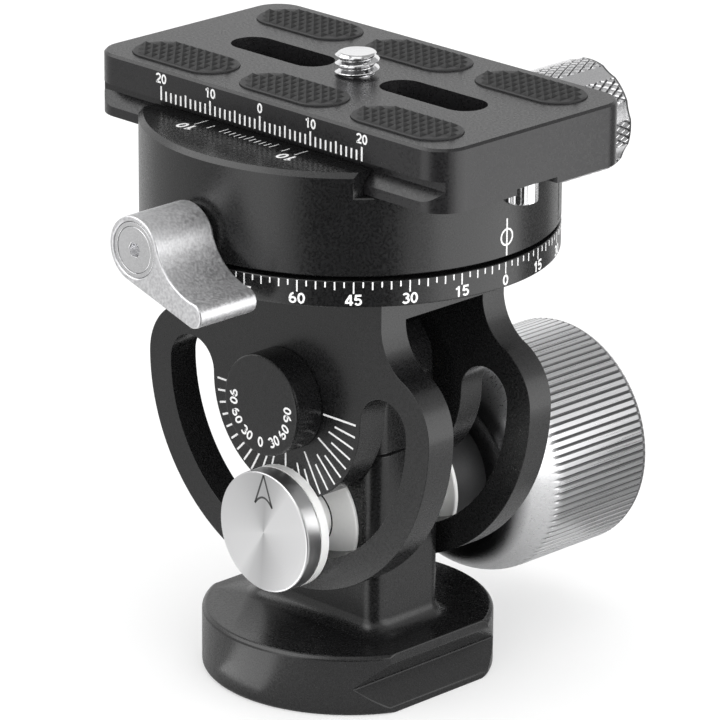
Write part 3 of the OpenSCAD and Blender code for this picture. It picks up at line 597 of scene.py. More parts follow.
class Assembly:
    """Shared steps of every sub-assembly: put a piece into the scene, or dress a CAD node."""

    body = "base"
    bevel_sharp = 28.0
    bevel_from = 38.0
    flat_within = 0.6

    def piece(self, name: str, shell: Shell, finish: Finish, slot: str, replaces: tuple[str, ...] = (),
              sharp: float = 32.0) -> bpy.types.Object:
        """Make a mesh piece from a shell, close its seams and let it ride on its body.

        Args:
            name: Name of the piece.
            shell: Points and faces, in millimetres.
            finish: Finish of the piece.
            slot: Material slot of the record; not used.
            replaces: CAD nodes that the piece stands for.
            sharp: Angle in degrees past which an edge stays sharp.

        Returns:
            The new object.
        """
        mesh = bpy.data.meshes.new(name)
        mesh.from_pydata((shell.points * MM).tolist(), [], [row for f in shell.faces for row in f.tolist()])
        # Painted shade for each point, which the finish reads to darken hollows.
        if shell.groove is not None:
            mesh.attributes.new("groove", "FLOAT", "POINT").data.foreach_set("value", shell.groove.ravel())
        work = bmesh.new()
        work.from_mesh(mesh)
        bmesh.ops.remove_doubles(work, verts=work.verts, dist=2e-7)
        bmesh.ops.dissolve_degenerate(work, edges=work.edges, dist=1e-8)
        self._outward(work, mesh)
        return self._settle(name, mesh, finish, replaces, sharp)

    def printed(self, name: str, marks: Marks, place: Place, finish: Finish = WHITE_INK,
                slot: str = "white_nylon") -> None:
        """Make a piece of the marks laid on a face."""
        self.piece(name, marks.laid(place), finish, slot)

    def rounded(self, node: str, name: str, width: float, finish: Finish, slot: str,
                place: Place | None = None) -> bpy.types.Object:
        """Merged copy of a CAD node with a fine rounding along its sharp edges.

        Args:
            node: CAD node that the copy replaces.
            name: Name of the piece.
            width: Width of the rounding in millimetres.
            finish: Finish of the piece.
            slot: Material slot of the record; not used.
            place: How the copy's points are moved, in millimetres, or none.

        Returns:
            The new object.
        """
        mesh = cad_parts[node].data.copy()
        for layer in [a.name for a in mesh.attributes if a.name == "custom_normal"]:
            mesh.attributes.remove(mesh.attributes[layer])
        work = bmesh.new()
        work.from_mesh(mesh)
        bmesh.ops.remove_doubles(work, verts=work.verts, dist=1e-6)
        bmesh.ops.dissolve_limit(work, angle_limit=math.radians(self.flat_within), verts=work.verts,
                               edges=work.edges)
        self._outward(work, mesh)
        if place:
            points = np.empty(len(mesh.vertices) * 3)
            mesh.vertices.foreach_get("co", points)
            mesh.vertices.foreach_set("co", (place(points.reshape(-1, 3) / MM) * MM).ravel())
        made = self._settle(name, mesh, finish, (node,), self.bevel_sharp)
        edge = made.modifiers.new("fine_edge", "BEVEL")
        edge.width = width * MM
        edge.segments = 3
        edge.limit_method = "ANGLE"
        edge.angle_limit = math.radians(self.bevel_from)
        edge.harden_normals = True
        return made

    def _outward(self, work: bmesh.types.BMesh, mesh: bpy.types.Mesh) -> None:
        """Turn the faces outward, write them to the mesh and free the working copy.

        Args:
            work: Working copy of the mesh.
            mesh: Mesh that takes the faces.
        """
        bmesh.ops.recalc_face_normals(work, faces=work.faces)
        work.to_mesh(mesh)
        work.free()

    def _settle(self, name: str, mesh: bpy.types.Mesh, finish: Finish, replaces: tuple[str, ...],
                sharp: float) -> bpy.types.Object:
        """Shade and dress a finished mesh, link it on its body and hide the CAD nodes that it replaces.

        Args:
            name: Name of the piece.
            mesh: Its finished mesh.
            finish: Finish of the piece.
            replaces: CAD nodes that the piece stands for.
            sharp: Angle in degrees past which an edge stays sharp.

        Returns:
            The new object.
        """
        mesh.name = name
        mesh.materials.clear()
        mesh.materials.append(finish.material())
        mesh.shade_smooth()
        mesh.set_sharp_from_angle(angle=math.radians(sharp))
        made = bpy.data.objects.new(name, mesh)
        bpy.context.scene.collection.objects.link(made)
        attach(made, self.body)
        if replaces:
            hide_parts(*replaces)
        LOG.info("piece %s on %s: %d faces", name, self.body, len(mesh.polygons))
        return made

    def dress(self, finish: Finish, *nodes: str) -> None:
        """Give CAD nodes a finish in every material slot.

        Args:
            finish: Finish of the nodes.
            nodes: Names of the CAD nodes.
        """
        for name in nodes:
            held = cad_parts[name]
            if not held.material_slots:
                held.data.materials.append(None)
            for slot in held.material_slots:
                slot.material = finish.material()
            LOG.info("node %s: %s", name, finish.name)


@dataclass
class Base(Assembly):
    """Foot, stem, tilt bolt, indicator disc and friction washers."""

    edge: float = 0.35
    disc_ease: float = 0.35
    arrow_top: float = 8.7
    arrow_foot: float = 4.1
    arrow_notch: float = 5.3
    arrow_half: float = 1.75
    line: float = 0.3
    line_lift: float = 0.015
    sleeve_gap: float = 0.1
    washer_t: float = 0.6
    washer_ease: float = 0.25
    washer_over: float = 0.55
    knob_washer_over: float = 0.95
    body = "base"

    def build(self) -> None:
        """Make and dress every piece of the base."""
        self.rounded("base_stem", "foot_and_stem", self.edge, BLACK, "black_anodised")
        self.dress(BRASS, "thread_insert")
        self.dress(STEEL, "pivot_axle", "tilt_bolt")
        self._disc()
        self._washers()

    def _disc(self) -> None:
        """Indicator disc with a turned face, and the arrow engraved in it: two lines and a curve between."""
        near, far, radius, axis = round_about_y("indicator_disc")
        face = (axis[0], near, axis[1])
        shell = turned(band(0.0, radius, near, far), self.disc_ease, Axis.Y, axis)
        self.piece("indicator_face", shell, disc_finish(face), "silver_alloy", ("indicator_disc",), FLAT_EDGE)
        arrow = Marks(self.line_lift)
        top, left, right = np.array([[0.0, self.arrow_top], [-self.arrow_half, self.arrow_foot],
                                     [self.arrow_half, self.arrow_foot]])
        for foot in (left, right):
            arrow.ribbon(np.stack([top, foot]), self.line)
        notch = np.array([0.0, 2 * self.arrow_notch - self.arrow_foot])
        arrow.ribbon(bend(left, notch, right, 12), self.line)
        self.printed("indicator_arrow", arrow, flat_place(face), DARK_LINE, "grey_metal")

    def _washers(self) -> None:
        """White sleeves, and friction washers by the cheeks, each an eased ring turned about the bolt."""
        self.dress(NYLON, "disc_washer", "slot_sleeves")
        near, far, radius, (_, height) = round_about_y("inner_washers")
        axis = (0.0, height)
        first = self._washer(radius + self.washer_over, near, near + self.washer_t, axis)
        second = self._washer(radius + self.washer_over, far - self.washer_t, far, axis)
        self.piece("friction_washers", first + second, NYLON, "white_nylon", ("inner_washers",), FLAT_EDGE)
        near, far, radius, _ = round_about_y("knob_washer")
        shell = self._washer(radius + self.knob_washer_over, near, far, axis)
        self.piece("knob_friction_washer", shell, NYLON, "white_nylon", ("knob_washer",), FLAT_EDGE)

    def _washer(self, radius: float, near: float, far: float, axis: Pair) -> Shell:
        """Eased ring round the slot sleeve, from its near to its far side."""
        bore = round_about_y("slot_sleeves")[2] + self.sleeve_gap
        return turned(band(bore, radius, near, far), self.washer_ease, Axis.Y, axis, True)


@dataclass
class Fork(Assembly):
    """Tilting fork with its dial, the pivot caps and the graduated ring under the drum."""

    edge: float = 0.45
    dial_out: float = 14.06
    dial_in: tuple[float, float, float] = (7.6, 9.0, 10.0)
    dial_step: float = 7.5
    dial_line: float = 0.3
    dial_drop: float = 0.58
    cap_ease: float = 0.4
    cap_numbers: float = 5.45
    cap_digit: float = 1.52
    ring_wide: float = 7.9
    ring_ease: float = 0.25
    ring_top: float = 0.12
    ring_step: float = 2.5
    ring_ticks: tuple[float, float, float] = (1.65, 1.15, 0.8)
    ring_line: float = 0.2
    ring_gap: float = 0.15
    ring_digit: float = 1.55
    ring_turn: float = 1.04
    body = "fork"

    def build(self) -> None:
        """Make and dress every piece of the fork."""
        self.rounded("fork", "fork_body", self.edge, BLACK, "black_anodised")
        self._caps()
        self._ring()
        self._dial()
        self.dress(BRASS, "axle_bushes")
        self.dress(STEEL, "pan_spindle", "spindle_screw", "retainer_disc", "retainer_screw")
        self.dress(NYLON, "thrust_washer")

    def _caps(self) -> None:
        """Round pivot caps, each a profile with an eased rim turned about the tilt axis."""
        for side in ("front", "rear"):
            near, far, radius, axis = round_about_y("pivot_cap_" + side)
            shell = turned(band(0.0, radius, near, far), self.cap_ease, Axis.Y, axis)
            self.piece("tilt_cap_" + side, shell, BLACK, "black_anodised", ("pivot_cap_" + side,), FLAT_EDGE)

    def _ring(self) -> None:
        """Graduated ring and its printed scale, which counts both ways from the index."""
        low, high = span("scale_ring")
        radius = high[0]
        profile = band(radius - self.ring_wide, radius, low[2], high[2])
        self.piece("graduated_ring", turned(profile, self.ring_ease, Axis.Z, (0.0, 0.0), True), BLACK,
                   "black_anodised", ("scale_ring",), FLAT_EDGE)
        marks = Marks()
        angles = np.arange(-180.0, 180.0, self.ring_step)
        marks.ticks(np.radians(angles) * radius, graded(angles, (15, 5), self.ring_ticks), self.ring_line)
        level = -self.ring_ticks[0] - self.ring_gap - self.ring_digit / 2
        for angle in range(-165, 181, 15):
            marks.number(abs(angle), (math.radians(angle) * radius, level), self.ring_digit)
        self.printed("ring_scale", marks, round_place(radius, high[2] - self.ring_top, self.ring_turn))

    def _dial(self) -> None:
        """Tilt dial: rays on the front cheek and numbers on the front cap."""
        face, cheek, _, (x, z) = round_about_y("pivot_cap_front")
        rays = Marks()
        angles = np.arange(-90.0, 90.1, self.dial_step)
        inner = graded(angles, (30, 15), self.dial_in)
        lean = np.radians(angles)
        middle = (inner + self.dial_out) / 2
        rays.bars(np.stack([middle * np.sin(lean), -middle * np.cos(lean)], -1),
                  np.stack([np.full_like(inner, self.dial_line), self.dial_out - inner], -1), lean)
        self.printed("tilt_rays", rays, flat_place((x, cheek, z - self.dial_drop)))
        digits = Marks()
        for angle in range(-90, 91, 30):
            a = math.radians(angle)
            at = (self.cap_numbers * math.sin(a), -self.cap_numbers * math.cos(a))
            digits.number(abs(angle), at, self.cap_digit, a)
        self.printed("tilt_numbers", digits, flat_place((x, face, z)))


@dataclass
class Drum(Assembly):
    """Panning drum with its fixed jaw, the pan index and the scale on the jaw."""

    edge: float = 0.3
    index_foot: float = 0.25
    index_tall: float = 5.4
    index_circle: float = 1.15
    index_line: float = 0.28
    index_turn: float = 1.3
    scale_x: float = -0.34
    scale_y: float = -20.6
    scale_digit: float = 2.1
    scale_digit_up: float = 1.5
    scale_line: float = 0.13
    scale_lift: float = 0.02
    end_tick: float = 2.7
    outer_tick: float = 1.6
    five_tick: float = 1.9
    one_tick: float = 1.35
    body = "drum"

    def build(self) -> None:
        """Make and dress every piece of the drum."""
        self.rounded("drum", "drum_body", self.edge, BLACK, "black_anodised")
        self.dress(BLACK, "bed_cover")
        self.dress(BRASS, "drum_bush")
        self.dress(STEEL, "guide_pins")
        self._index()
        self._jaw_scale()

    def _index(self) -> None:
        """Index on the side of the drum: an upright line through a small circle."""
        low, high = span("drum")
        marks = Marks()
        marks.ticks(np.array([0.0]), np.array([self.index_tall]), self.index_line, 1)
        turn = np.linspace(0, TAU, 40, endpoint=False)
        circle = self.index_circle * np.stack([np.cos(turn), np.sin(turn)], -1)
        marks.ribbon(circle + np.array([0, self.index_tall / 2]), self.index_line, True)
        self.printed("pan_index", marks, round_place(high[0], low[2] + self.index_foot, self.index_turn))

    def _jaw_scale(self) -> None:
        """Fine scale on the top of the fixed jaw, read from the front: one row of ticks and two numbers."""
        marks = Marks(self.scale_lift)
        places = np.concatenate([np.arange(-5.0, 5.1), [-7.5, 7.5, -10.0, 10.0]])
        reach = np.abs(places)
        tall = np.where(np.isin(reach, (0, 5)), self.five_tick, self.one_tick)
        tall = np.where(reach > 9, self.end_tick, np.where(reach > 6, self.outer_tick, tall))
        marks.ticks(places, tall, self.scale_line)
        for x in (-10, 10):
            marks.number(10, (x, self.scale_digit_up), self.scale_digit)
        origin = (self.scale_x, self.scale_y, span("drum")[1][2])
        self.printed("jaw_scale", marks, flat_place(origin, (-1, 0, 0), (0, -1, 0)))


@dataclass
class PanLever(Assembly):
    """Pan lock lever with its stud, washer and cap screw."""

    edge: float = 0.3
    ring_edge: float = 0.08
    screw_edge: float = 0.12
    boss: float = 1.9
    boss_seen: float = 0.8
    near_back: float = 0.05
    body = "lever"

    def build(self) -> None:
        """Make and dress every piece of the lever."""
        self.rounded("pan_lever", "lever_arm", self.edge, SILVER, "silver_alloy", self._deepen)
        self.rounded("lever_washer", "lever_ring", self.ring_edge, BRIGHT, "silver_alloy")
        self.rounded("lever_screw", "lever_cap_screw", self.screw_edge, BRIGHT, "plain_steel")
        self.dress(STEEL, "lever_stud")
        self.dress(BRASS, "brake_shoe")

    def _deepen(self, points: np.ndarray) -> np.ndarray:
        """The arm's back face moved nearer to the drum, so that less of the boss behind it shows.

        Args:
            points: Points of the lever.

        Returns:
            The points with the back face moved.
        """
        back = span("pan_lever")[1][1] - self.boss
        moved = points.copy()
        on_back = np.abs(points[:, 1] - back) < self.near_back
        moved[:, 1] += np.where(on_back, self.boss - self.boss_seen, 0.0)
        return moved


@dataclass
class Jaw(Assembly):
    """Moving jaw of the dovetail clamp and the washer under its knob."""

    edge: float = 0.3
    body = "jaw"

    def build(self) -> None:
        """Make and dress every piece of the moving jaw."""
        self.rounded("moving_jaw", "moving_jaw_body", self.edge, BLACK, "black_anodised")
        self.dress(STEEL, "clamp_washer")


def hollow(delta: np.ndarray, reach: float, radius: float, beyond: float) -> np.ndarray:
    """Distance from the axis to a round hollow, by the cosine rule.

    It is c cos d minus the root of s squared less c squared sin squared d.

    Args:
        delta: Angle d from the middle of the hollow.
        reach: Distance c of the hollow's centre from the axis.
        radius: Radius s of the hollow.
        beyond: Value where the hollow isn't met.

    Returns:
        Array of distances.
    """
    inside = radius ** 2 - (reach * np.sin(delta)) ** 2
    return np.where(inside > 1e-9, reach * np.cos(delta) - np.sqrt(np.maximum(inside, 0)), beyond)


@dataclass
class ClampKnob(Assembly):
    """Knob that works the moving jaw: eight smooth scallops between diamond-knurled lands."""

    screw_r: float = 2.5
    hub_r: float = 5.0
    hub_l: float = 5.9
    hub_ease: float = 0.3
    cap_r: float = 4.5
    cap_deep: float = 1.2
    scallops: int = 8
    phase: float = 0.37
    scallop_r: float = 8.0
    scallop_in: float = 0.22
    knurl: float = 1.16
    knurl_long: float = 2.3
    knurl_deep: float = 0.34
    land: float = 2.8
    rim: float = 0.15
    band: float = 0.5
    # Strength of the painted dark line on the plain band at the far end.
    band_dark: float = 0.8
    turns: int = 600
    stations: int = 110
    body = "clamp"

    def build(self) -> None:
        """Make and dress every piece of the clamp knob."""
        low, high = span("clamp_knob")
        centre = ((low[0] + high[0]) / 2, span("clamp_screw")[0][2] + self.screw_r)
        shell = self._grip(low[1], high[1], (high[2] - low[2]) / 2, centre)
        self.piece("clamp_grip", shell, KNURLED, "silver_alloy", ("clamp_knob",), 50.0)
        self.dress(STEEL, "clamp_screw")
        self.dress(BRIGHT, "clamp_cap")

    def _grip(self, near: float, far: float, radius: float, centre: Pair) -> Shell:
        """Turned grip: the least radius of the land and the scallop hollows, less the knurl on the lands.

        The knurl is a field of four-sided points: one less the greater of two folded ramps, one for each
        diagonal, and it stops short of a plain band at each end.

        Args:
            near: Place of the hub's near face along Y.
            far: Place of the outer end along Y.
            radius: Radius over the knurl.
            centre: Axis of the knob in X and Z.

        Returns:
            The closed shell of the knob.
        """
        grip = near + self.hub_l
        turn = np.linspace(0, TAU, self.turns, endpoint=False)[:, None]
        along = np.linspace(grip, far, self.stations)[None, :]
        pitch = TAU / self.scallops
        delta = ((turn / pitch - self.phase + 0.5) % 1.0 - 0.5) * pitch
        scallop = hollow(delta, radius - self.scallop_in + self.scallop_r, self.scallop_r, radius + 1)
        lands = round(TAU * radius / self.knurl)
        ramps = [(turn / TAU * lands + s * along / self.knurl_long) % 1.0 for s in (1, -1)]
        point = 1 - np.maximum(*(np.abs(ramp - 0.5) for ramp in ramps)) * 2
        teeth = (scallop >= radius) & (far - along > self.band) & (along - grip > self.band)
        sunk = (1 - np.minimum(point * self.land, 1)) * teeth
        ends = np.clip(np.minimum(along - grip, far - along) / self.rim, 0, 1)
        plain = radius - self.rim * (1 - ends)
        outer = np.minimum(plain - self.knurl_deep * sunk, plain - np.maximum(radius - scallop, 0))
        hub = np.tile([0.0, self.hub_r - self.hub_ease, self.hub_r, self.hub_r], (len(turn), 1))
        recess = np.tile([self.cap_r, self.cap_r, 0.0], (len(turn), 1))
        radii = np.concatenate([hub, outer, recess], 1)
        floor = far - self.cap_deep
        places = np.concatenate([[near, near, near + self.hub_ease, grip], along[0], [far, floor, floor]])
        shell = lathe(radii, places[None, :], Axis.Y, centre, turn[:, 0])
        # Painted shade in the knurl's sunk valleys, and on the plain band at the far end.
        shell.groove = np.zeros_like(radii)
        shell.groove[:, 4:-3] = np.maximum(sunk, self.band_dark * (far - along < self.band))
        return shell


@dataclass
class CameraPlate(Assembly):
    """Quick-release plate with its scale, rubber pads and stop screws."""

    edge: float = 0.22
    mid_x: float = 1.2
    pad_l: float = 18.4
    pad_w: float = 8.5
    pad_dx: float = 22.0
    pad_y: float = 12.3
    pad_ease: float = 0.12
    stud_pitch: float = 1.53
    stud_up: float = 0.5
    stud_in: float = 0.3
    stud_sink: float = 0.02
    stud_keep: float = 0.85
    scale_x: float = 0.93
    scale_z: float = 85.14
    scale_ticks: tuple[float, float, float] = (2.05, 1.75, 1.45)
    scale_line: float = 0.3
    scale_gap: float = 0.42
    scale_digit: float = 1.42
    stop_head: float = 3.3
    stop_ribs: int = 26
    stop_rib: float = 0.05
    body = "plate"

    def build(self) -> None:
        """Make and dress every piece of the plate."""
        self.rounded("qr_plate", "plate_body", self.edge, DARK_PLATE, "grey_metal")
        self._scale()
        self._pads()
        self._stops()
        self.dress(STEEL, "screw_circlip")

    def _scale(self) -> None:
        """Millimetre scale on the front side of the plate, with numbers each way from the middle."""
        marks = Marks()
        places = np.arange(-20.0, 20.5)
        marks.ticks(places, graded(places, (10, 5), self.scale_ticks), self.scale_line, 1)
        for x in range(-20, 21, 10):
            up = self.scale_ticks[0] + self.scale_gap + self.scale_digit / 2
            marks.number(abs(x), (x, up), self.scale_digit)
        self.printed("plate_scale", marks, flat_place((self.scale_x, span("qr_plate")[0][1], self.scale_z)))

    def _pads(self) -> None:
        """Six rubber pads: a flat bar with round ends, studded with rows of four-sided points.

        A pad is a stack of rings of its outline. The points stand on a square lattice along the pad, and each
        is four triangles from a square to its tip.
        """
        low, high = span("rubber_pads")
        foot, top = low[2], high[2] - self.stud_up
        turn = np.linspace(0, TAU, 64, endpoint=False)
        half = (self.pad_l - self.pad_w) / 2
        end = self.pad_w / 2
        outline = np.stack([np.sign(np.cos(turn)) * half + end * np.cos(turn), end * np.sin(turn)], -1)
        share = np.array([0.0, 1.0, 1.0, 0.975, 0.0])
        level = np.array([foot, foot, top - self.pad_ease, top, top])
        height = np.broadcast_to(level[None, :, None], (len(turn), len(level), 1))
        bar = grid(np.concatenate([outline[:, None] * share[None, :, None], height], -1))
        # Painted shade on the bar: light on its sides, darkening across the top towards the middle, between
        # the points.
        bar.groove = np.tile([1.0, 0.2, 0.0, 0.2, 1.0], len(turn))
        pad = bar + self._studs(half, end, top)
        spots = [(self.mid_x + i * self.pad_dx, j * self.pad_y, 0.0) for i in (-1, 0, 1) for j in (-1, 1)]
        pads = [pad.laid(lambda points, at=spot: points + np.array(at)) for spot in spots]
        self.piece("grip_pads", sum(pads[1:], pads[0]), RUBBER, "black_rubber", ("rubber_pads",), 20.0)

    def _studs(self, half: float, end: float, top: float) -> Shell:
        """Lattice of four-sided points in one pad's outline; feet past it are drawn back inside.

        Args:
            half: Half the straight length of the pad.
            end: Radius of its round ends.
            top: Height of its flat top.

        Returns:
            The points of one pad, centred on it.
        """
        step = self.stud_pitch
        i, j = np.meshgrid(np.arange(-20, 21), np.arange(-20, 21), indexing="ij")
        centre = np.stack([(i + 0.5) * step, j * step], -1).reshape(-1, 2)
        side = step / 2
        reach = np.hypot(np.maximum(np.abs(centre[:, 0]) - half, 0), centre[:, 1])
        centre = centre[reach < end - side * self.stud_keep]
        count = len(centre)
        sink = -self.stud_sink
        stud = np.array([[-side, -side, sink], [side, -side, sink], [side, side, sink], [-side, side, sink],
                         [0, 0, self.stud_up]])
        points = stud[None] + np.column_stack([centre, np.full(count, top)])[:, None]
        middle = np.stack([np.clip(points[..., 0], -half, half), np.zeros_like(points[..., 1])], -1)
        out = points[..., :2] - middle
        far = np.linalg.norm(out, axis=-1, keepdims=True)
        points[..., :2] = middle + out * np.minimum(1.0, (end - self.stud_in) / np.maximum(far, 1e-6))
        shift = 5 * np.arange(count)[:, None, None]
        sides = np.array([[0, 1, 4], [1, 2, 4], [2, 3, 4], [3, 0, 4]])[None] + shift
        feet = np.array([[3, 2, 1, 0]])[None] + shift
        # Painted shade: dark at each point's feet, none at its tip.
        deep = np.tile([1.0, 1.0, 1.0, 1.0, 0.0], count)
        return Shell(points.reshape(-1, 3), [sides.reshape(-1, 3), feet.reshape(-1, 4)], deep)

    def _stops(self) -> None:
        """Two stop screws under the ends: the head's radius dips in a row of fine ribs."""
        low, high = span("stop_screws")
        radius = (high[1] - low[1]) / 2
        reach = (high[0] - low[0]) / 2 - radius
        turn = np.linspace(0, TAU, self.stop_ribs * 6, endpoint=False)[:, None]
        rib = self.stop_rib * np.abs(np.cos(turn * self.stop_ribs / 2))
        foot, head, top = low[2], low[2] + self.stop_head, high[2]
        share = np.array([0, 0.87, 0.97, 1, 1, 0.6, 0.6, 0])
        level = np.array([foot, foot, foot + 0.18, foot + 0.4, head, head, top, top])
        radii = share[None] * radius - rib * (share == 1)[None]
        ends = [lathe(radii, level[None], Axis.Z, (self.mid_x + s * reach, 0.0), turn[:, 0]) for s in (-1, 1)]
        self.piece("stop_heads", ends[0] + ends[1], BRIGHT, "bright_steel", ("stop_screws",), 40.0)


@dataclass
class CameraScrew(Assembly):
    """Captive camera screw with a real helical thread above the plate."""

    thread_r: float = 3.175
    pitch: float = 1.27
    deep: float = 0.72
    head_r: float = 6.4
    head_t: float = 2.5
    head_ease: float = 0.3
    neck_r: float = 2.5
    crown: float = 0.55
    dish: float = 0.25
    dish_in: float = 0.5
    steps: int = 96
    rows: int = 61
    body = "screw"

    def build(self) -> None:
        """Make the screw: a head and neck turned plain, and a thread whose radius follows a helix.

        The thread's radius falls from the crest by a folded ramp of height over pitch less turn, with the
        crest and the root cut flat, and never passes the cone that ends the screw.
        """
        low, high = span("camera_screw")
        centre = ((low[0] + high[0]) / 2, (low[1] + high[1]) / 2)
        foot, top = low[2], high[2]
        start = span("qr_plate")[1][2] + 0.1
        turn = np.linspace(0, TAU, self.steps, endpoint=False)[:, None]
        height = np.linspace(start, top, self.rows)[None, :]
        fold = np.abs(((height - start) / self.pitch - turn / TAU) % 1.0 - 0.5) * 2
        thread = self.thread_r - self.deep * np.clip(fold * 1.35 - 0.1, 0, 1)
        cone = np.minimum(self.thread_r - self.crown + (top - height) * 1.1, self.thread_r)
        thread = np.minimum(np.minimum(thread, cone), self.neck_r + (height - start) * 3 + 0.1)
        head = [0.0, self.head_r - self.head_ease, self.head_r, self.head_r, self.neck_r, self.neck_r]
        tip = [self.thread_r - self.crown - self.dish_in, 0.0]
        radii = np.concatenate([np.tile(head, (self.steps, 1)), thread, np.tile(tip, (self.steps, 1))], 1)
        seat = foot + self.head_t
        places = [foot, foot, foot + self.head_ease, seat, seat, start]
        along = np.concatenate([places, height[0], [top, top - self.dish]])[None, :]
        shell = lathe(radii, along, Axis.Z, centre, turn[:, 0])
        self.piece("thread_screw", shell, CHROME, "bright_steel", ("camera_screw",), 45.0)


@dataclass
class TiltKnob(Assembly):
    """Large tilt lock knob: an arc shoulder, straight flutes that run out over it, and an end cover."""

    flutes: int = 94
    flute_r: float = 0.24
    flute_deep: float = 0.24
    # Radii over which the painted shadow at the shoulder's foot, by the collar, fades out.
    shaded: Pair = (13.6, 15.4)
    shoulder: float = 8.0
    shoulder_r: float = 9.0
    rim: float = 0.8
    rim_line: float = 0.3
    # Strength of the painted shade on the thin dark line at the outer rim.
    rim_dark: float = 0.8
    plain_end: float = 4.0
    recess_r: float = 10.0
    recess: float = 1.2
    bore_r: float = 8.62
    bore_deep: float = 2.0
    body = "knob"

    def build(self) -> None:
        """Make and dress every piece of the tilt knob."""
        self.piece("tilt_grip", self._grip(*round_about_y("tilt_knob")), KNOB_SILVER, "silver_alloy",
                   ("tilt_knob",), 40.0)
        self.dress(KNOB_SILVER, "knob_cap")
        self.dress(DARK_GREY, "knob_collar")
        self.dress(BRASS, "knob_insert")

    def _grip(self, near: float, far: float, radius: float, centre: Pair) -> Shell:
        """Turned grip whose radius is the lesser of the knob's profile and the nearest flute's hollow.

        The shoulder is an arc of its own radius up to the full grip, and a flute is a round hollow along the
        knob.
        Painted shade darkens the flutes, a thin line at the outer rim and the foot of the shoulder, where
        shadow falls.

        Args:
            near: Place of the near face along Y.
            far: Place of the outer end along Y.
            radius: Radius over the flutes.
            centre: Axis of the knob in X and Z.

        Returns:
            The closed shell of the knob.
        """
        grip = near + self.shoulder
        pitch = TAU / self.flutes
        reach = radius + self.flute_r - self.flute_deep
        half = math.asin(self.flute_r / reach)
        cell = np.concatenate([np.linspace(-half, half, 10), np.linspace(half, pitch - half, 4)[1:-1]])
        turn = (np.arange(self.flutes)[:, None] * pitch + cell[None]).ravel()
        floor = hollow(np.tile(cell, self.flutes)[:, None], reach, self.flute_r, radius)
        swing = np.linspace(-math.asin(self.shoulder / self.shoulder_r), 0, 22)
        rise = radius - self.shoulder_r + self.shoulder_r * np.cos(swing)
        profile = np.concatenate([rise, [radius] * 3, [radius - self.rim * 0.3, radius - self.rim]])
        edge = far - self.rim
        straight = [far - self.plain_end, edge - self.rim_line, edge, far - self.rim * 0.3, far]
        outer = np.minimum(profile[None], floor)
        outer[:, -1] = radius - self.rim
        back = np.tile([self.bore_r, self.bore_r], (len(turn), 1))
        recess = np.tile([self.recess_r, self.recess_r, self.bore_r], (len(turn), 1))
        radii = np.concatenate([back, outer, recess], 1)
        floor_y = far - self.recess
        curve = grip + self.shoulder_r * np.sin(swing)
        along = np.concatenate([[near + self.bore_deep, near], curve, straight, [far, floor_y, floor_y]])
        shell = lathe(radii, along[None, :], Axis.Y, centre, turn, True)
        shell.groove = np.zeros_like(radii)
        # Painted shade in the flutes, by how deep each point lies.
        shell.groove[:, 2:-3] = np.clip((profile[None] - outer) / self.flute_deep, 0, 1)
        # Painted dark line at the outer rim.
        shell.groove[:, -6] = self.rim_dark
        # Painted shadow at the foot of the shoulder, near the collar and the rear cheek.
        inner = np.clip((self.shaded[1] - radii) / (self.shaded[1] - self.shaded[0]), 0, 1)
        shell.groove = np.maximum(shell.groove, inner * (along < grip)[None])
        return shell


class Slope(Enum):
    """Nearest and farthest reach of a studio card, and its heights there, in metres."""

    FOOT = ((0.024, 0.05), (0.0008, 0.0008))
    NEAR = ((0.05, 0.085), (0.0008, 0.0183))
    FAR = ((0.085, 1.2), (0.0183, 0.576))
    PAST_FOOT = ((0.09, 1.2), (0.0208, 0.576))
    WHOLE = ((0.05, 1.2), (0.0008, 0.576))
    OVER = ((0.35, 1.15), (0.75, 0.75))
    OVER_WIDE = ((0.25, 1.35), (0.75, 0.75))


@dataclass(frozen=True)
class Card:
    """Studio card that only reflections see: its bearings in degrees from +X, and how bright it looks."""

    name: str
    sector: Pair
    slope: Slope
    tone: float


@dataclass(frozen=True)
class Lamp:
    """Soft box: its place, the height that it faces, its size in metres and its power in watts."""

    name: str
    at: Colour
    aim: float
    size: Pair
    power: float
    mirrored: bool = True


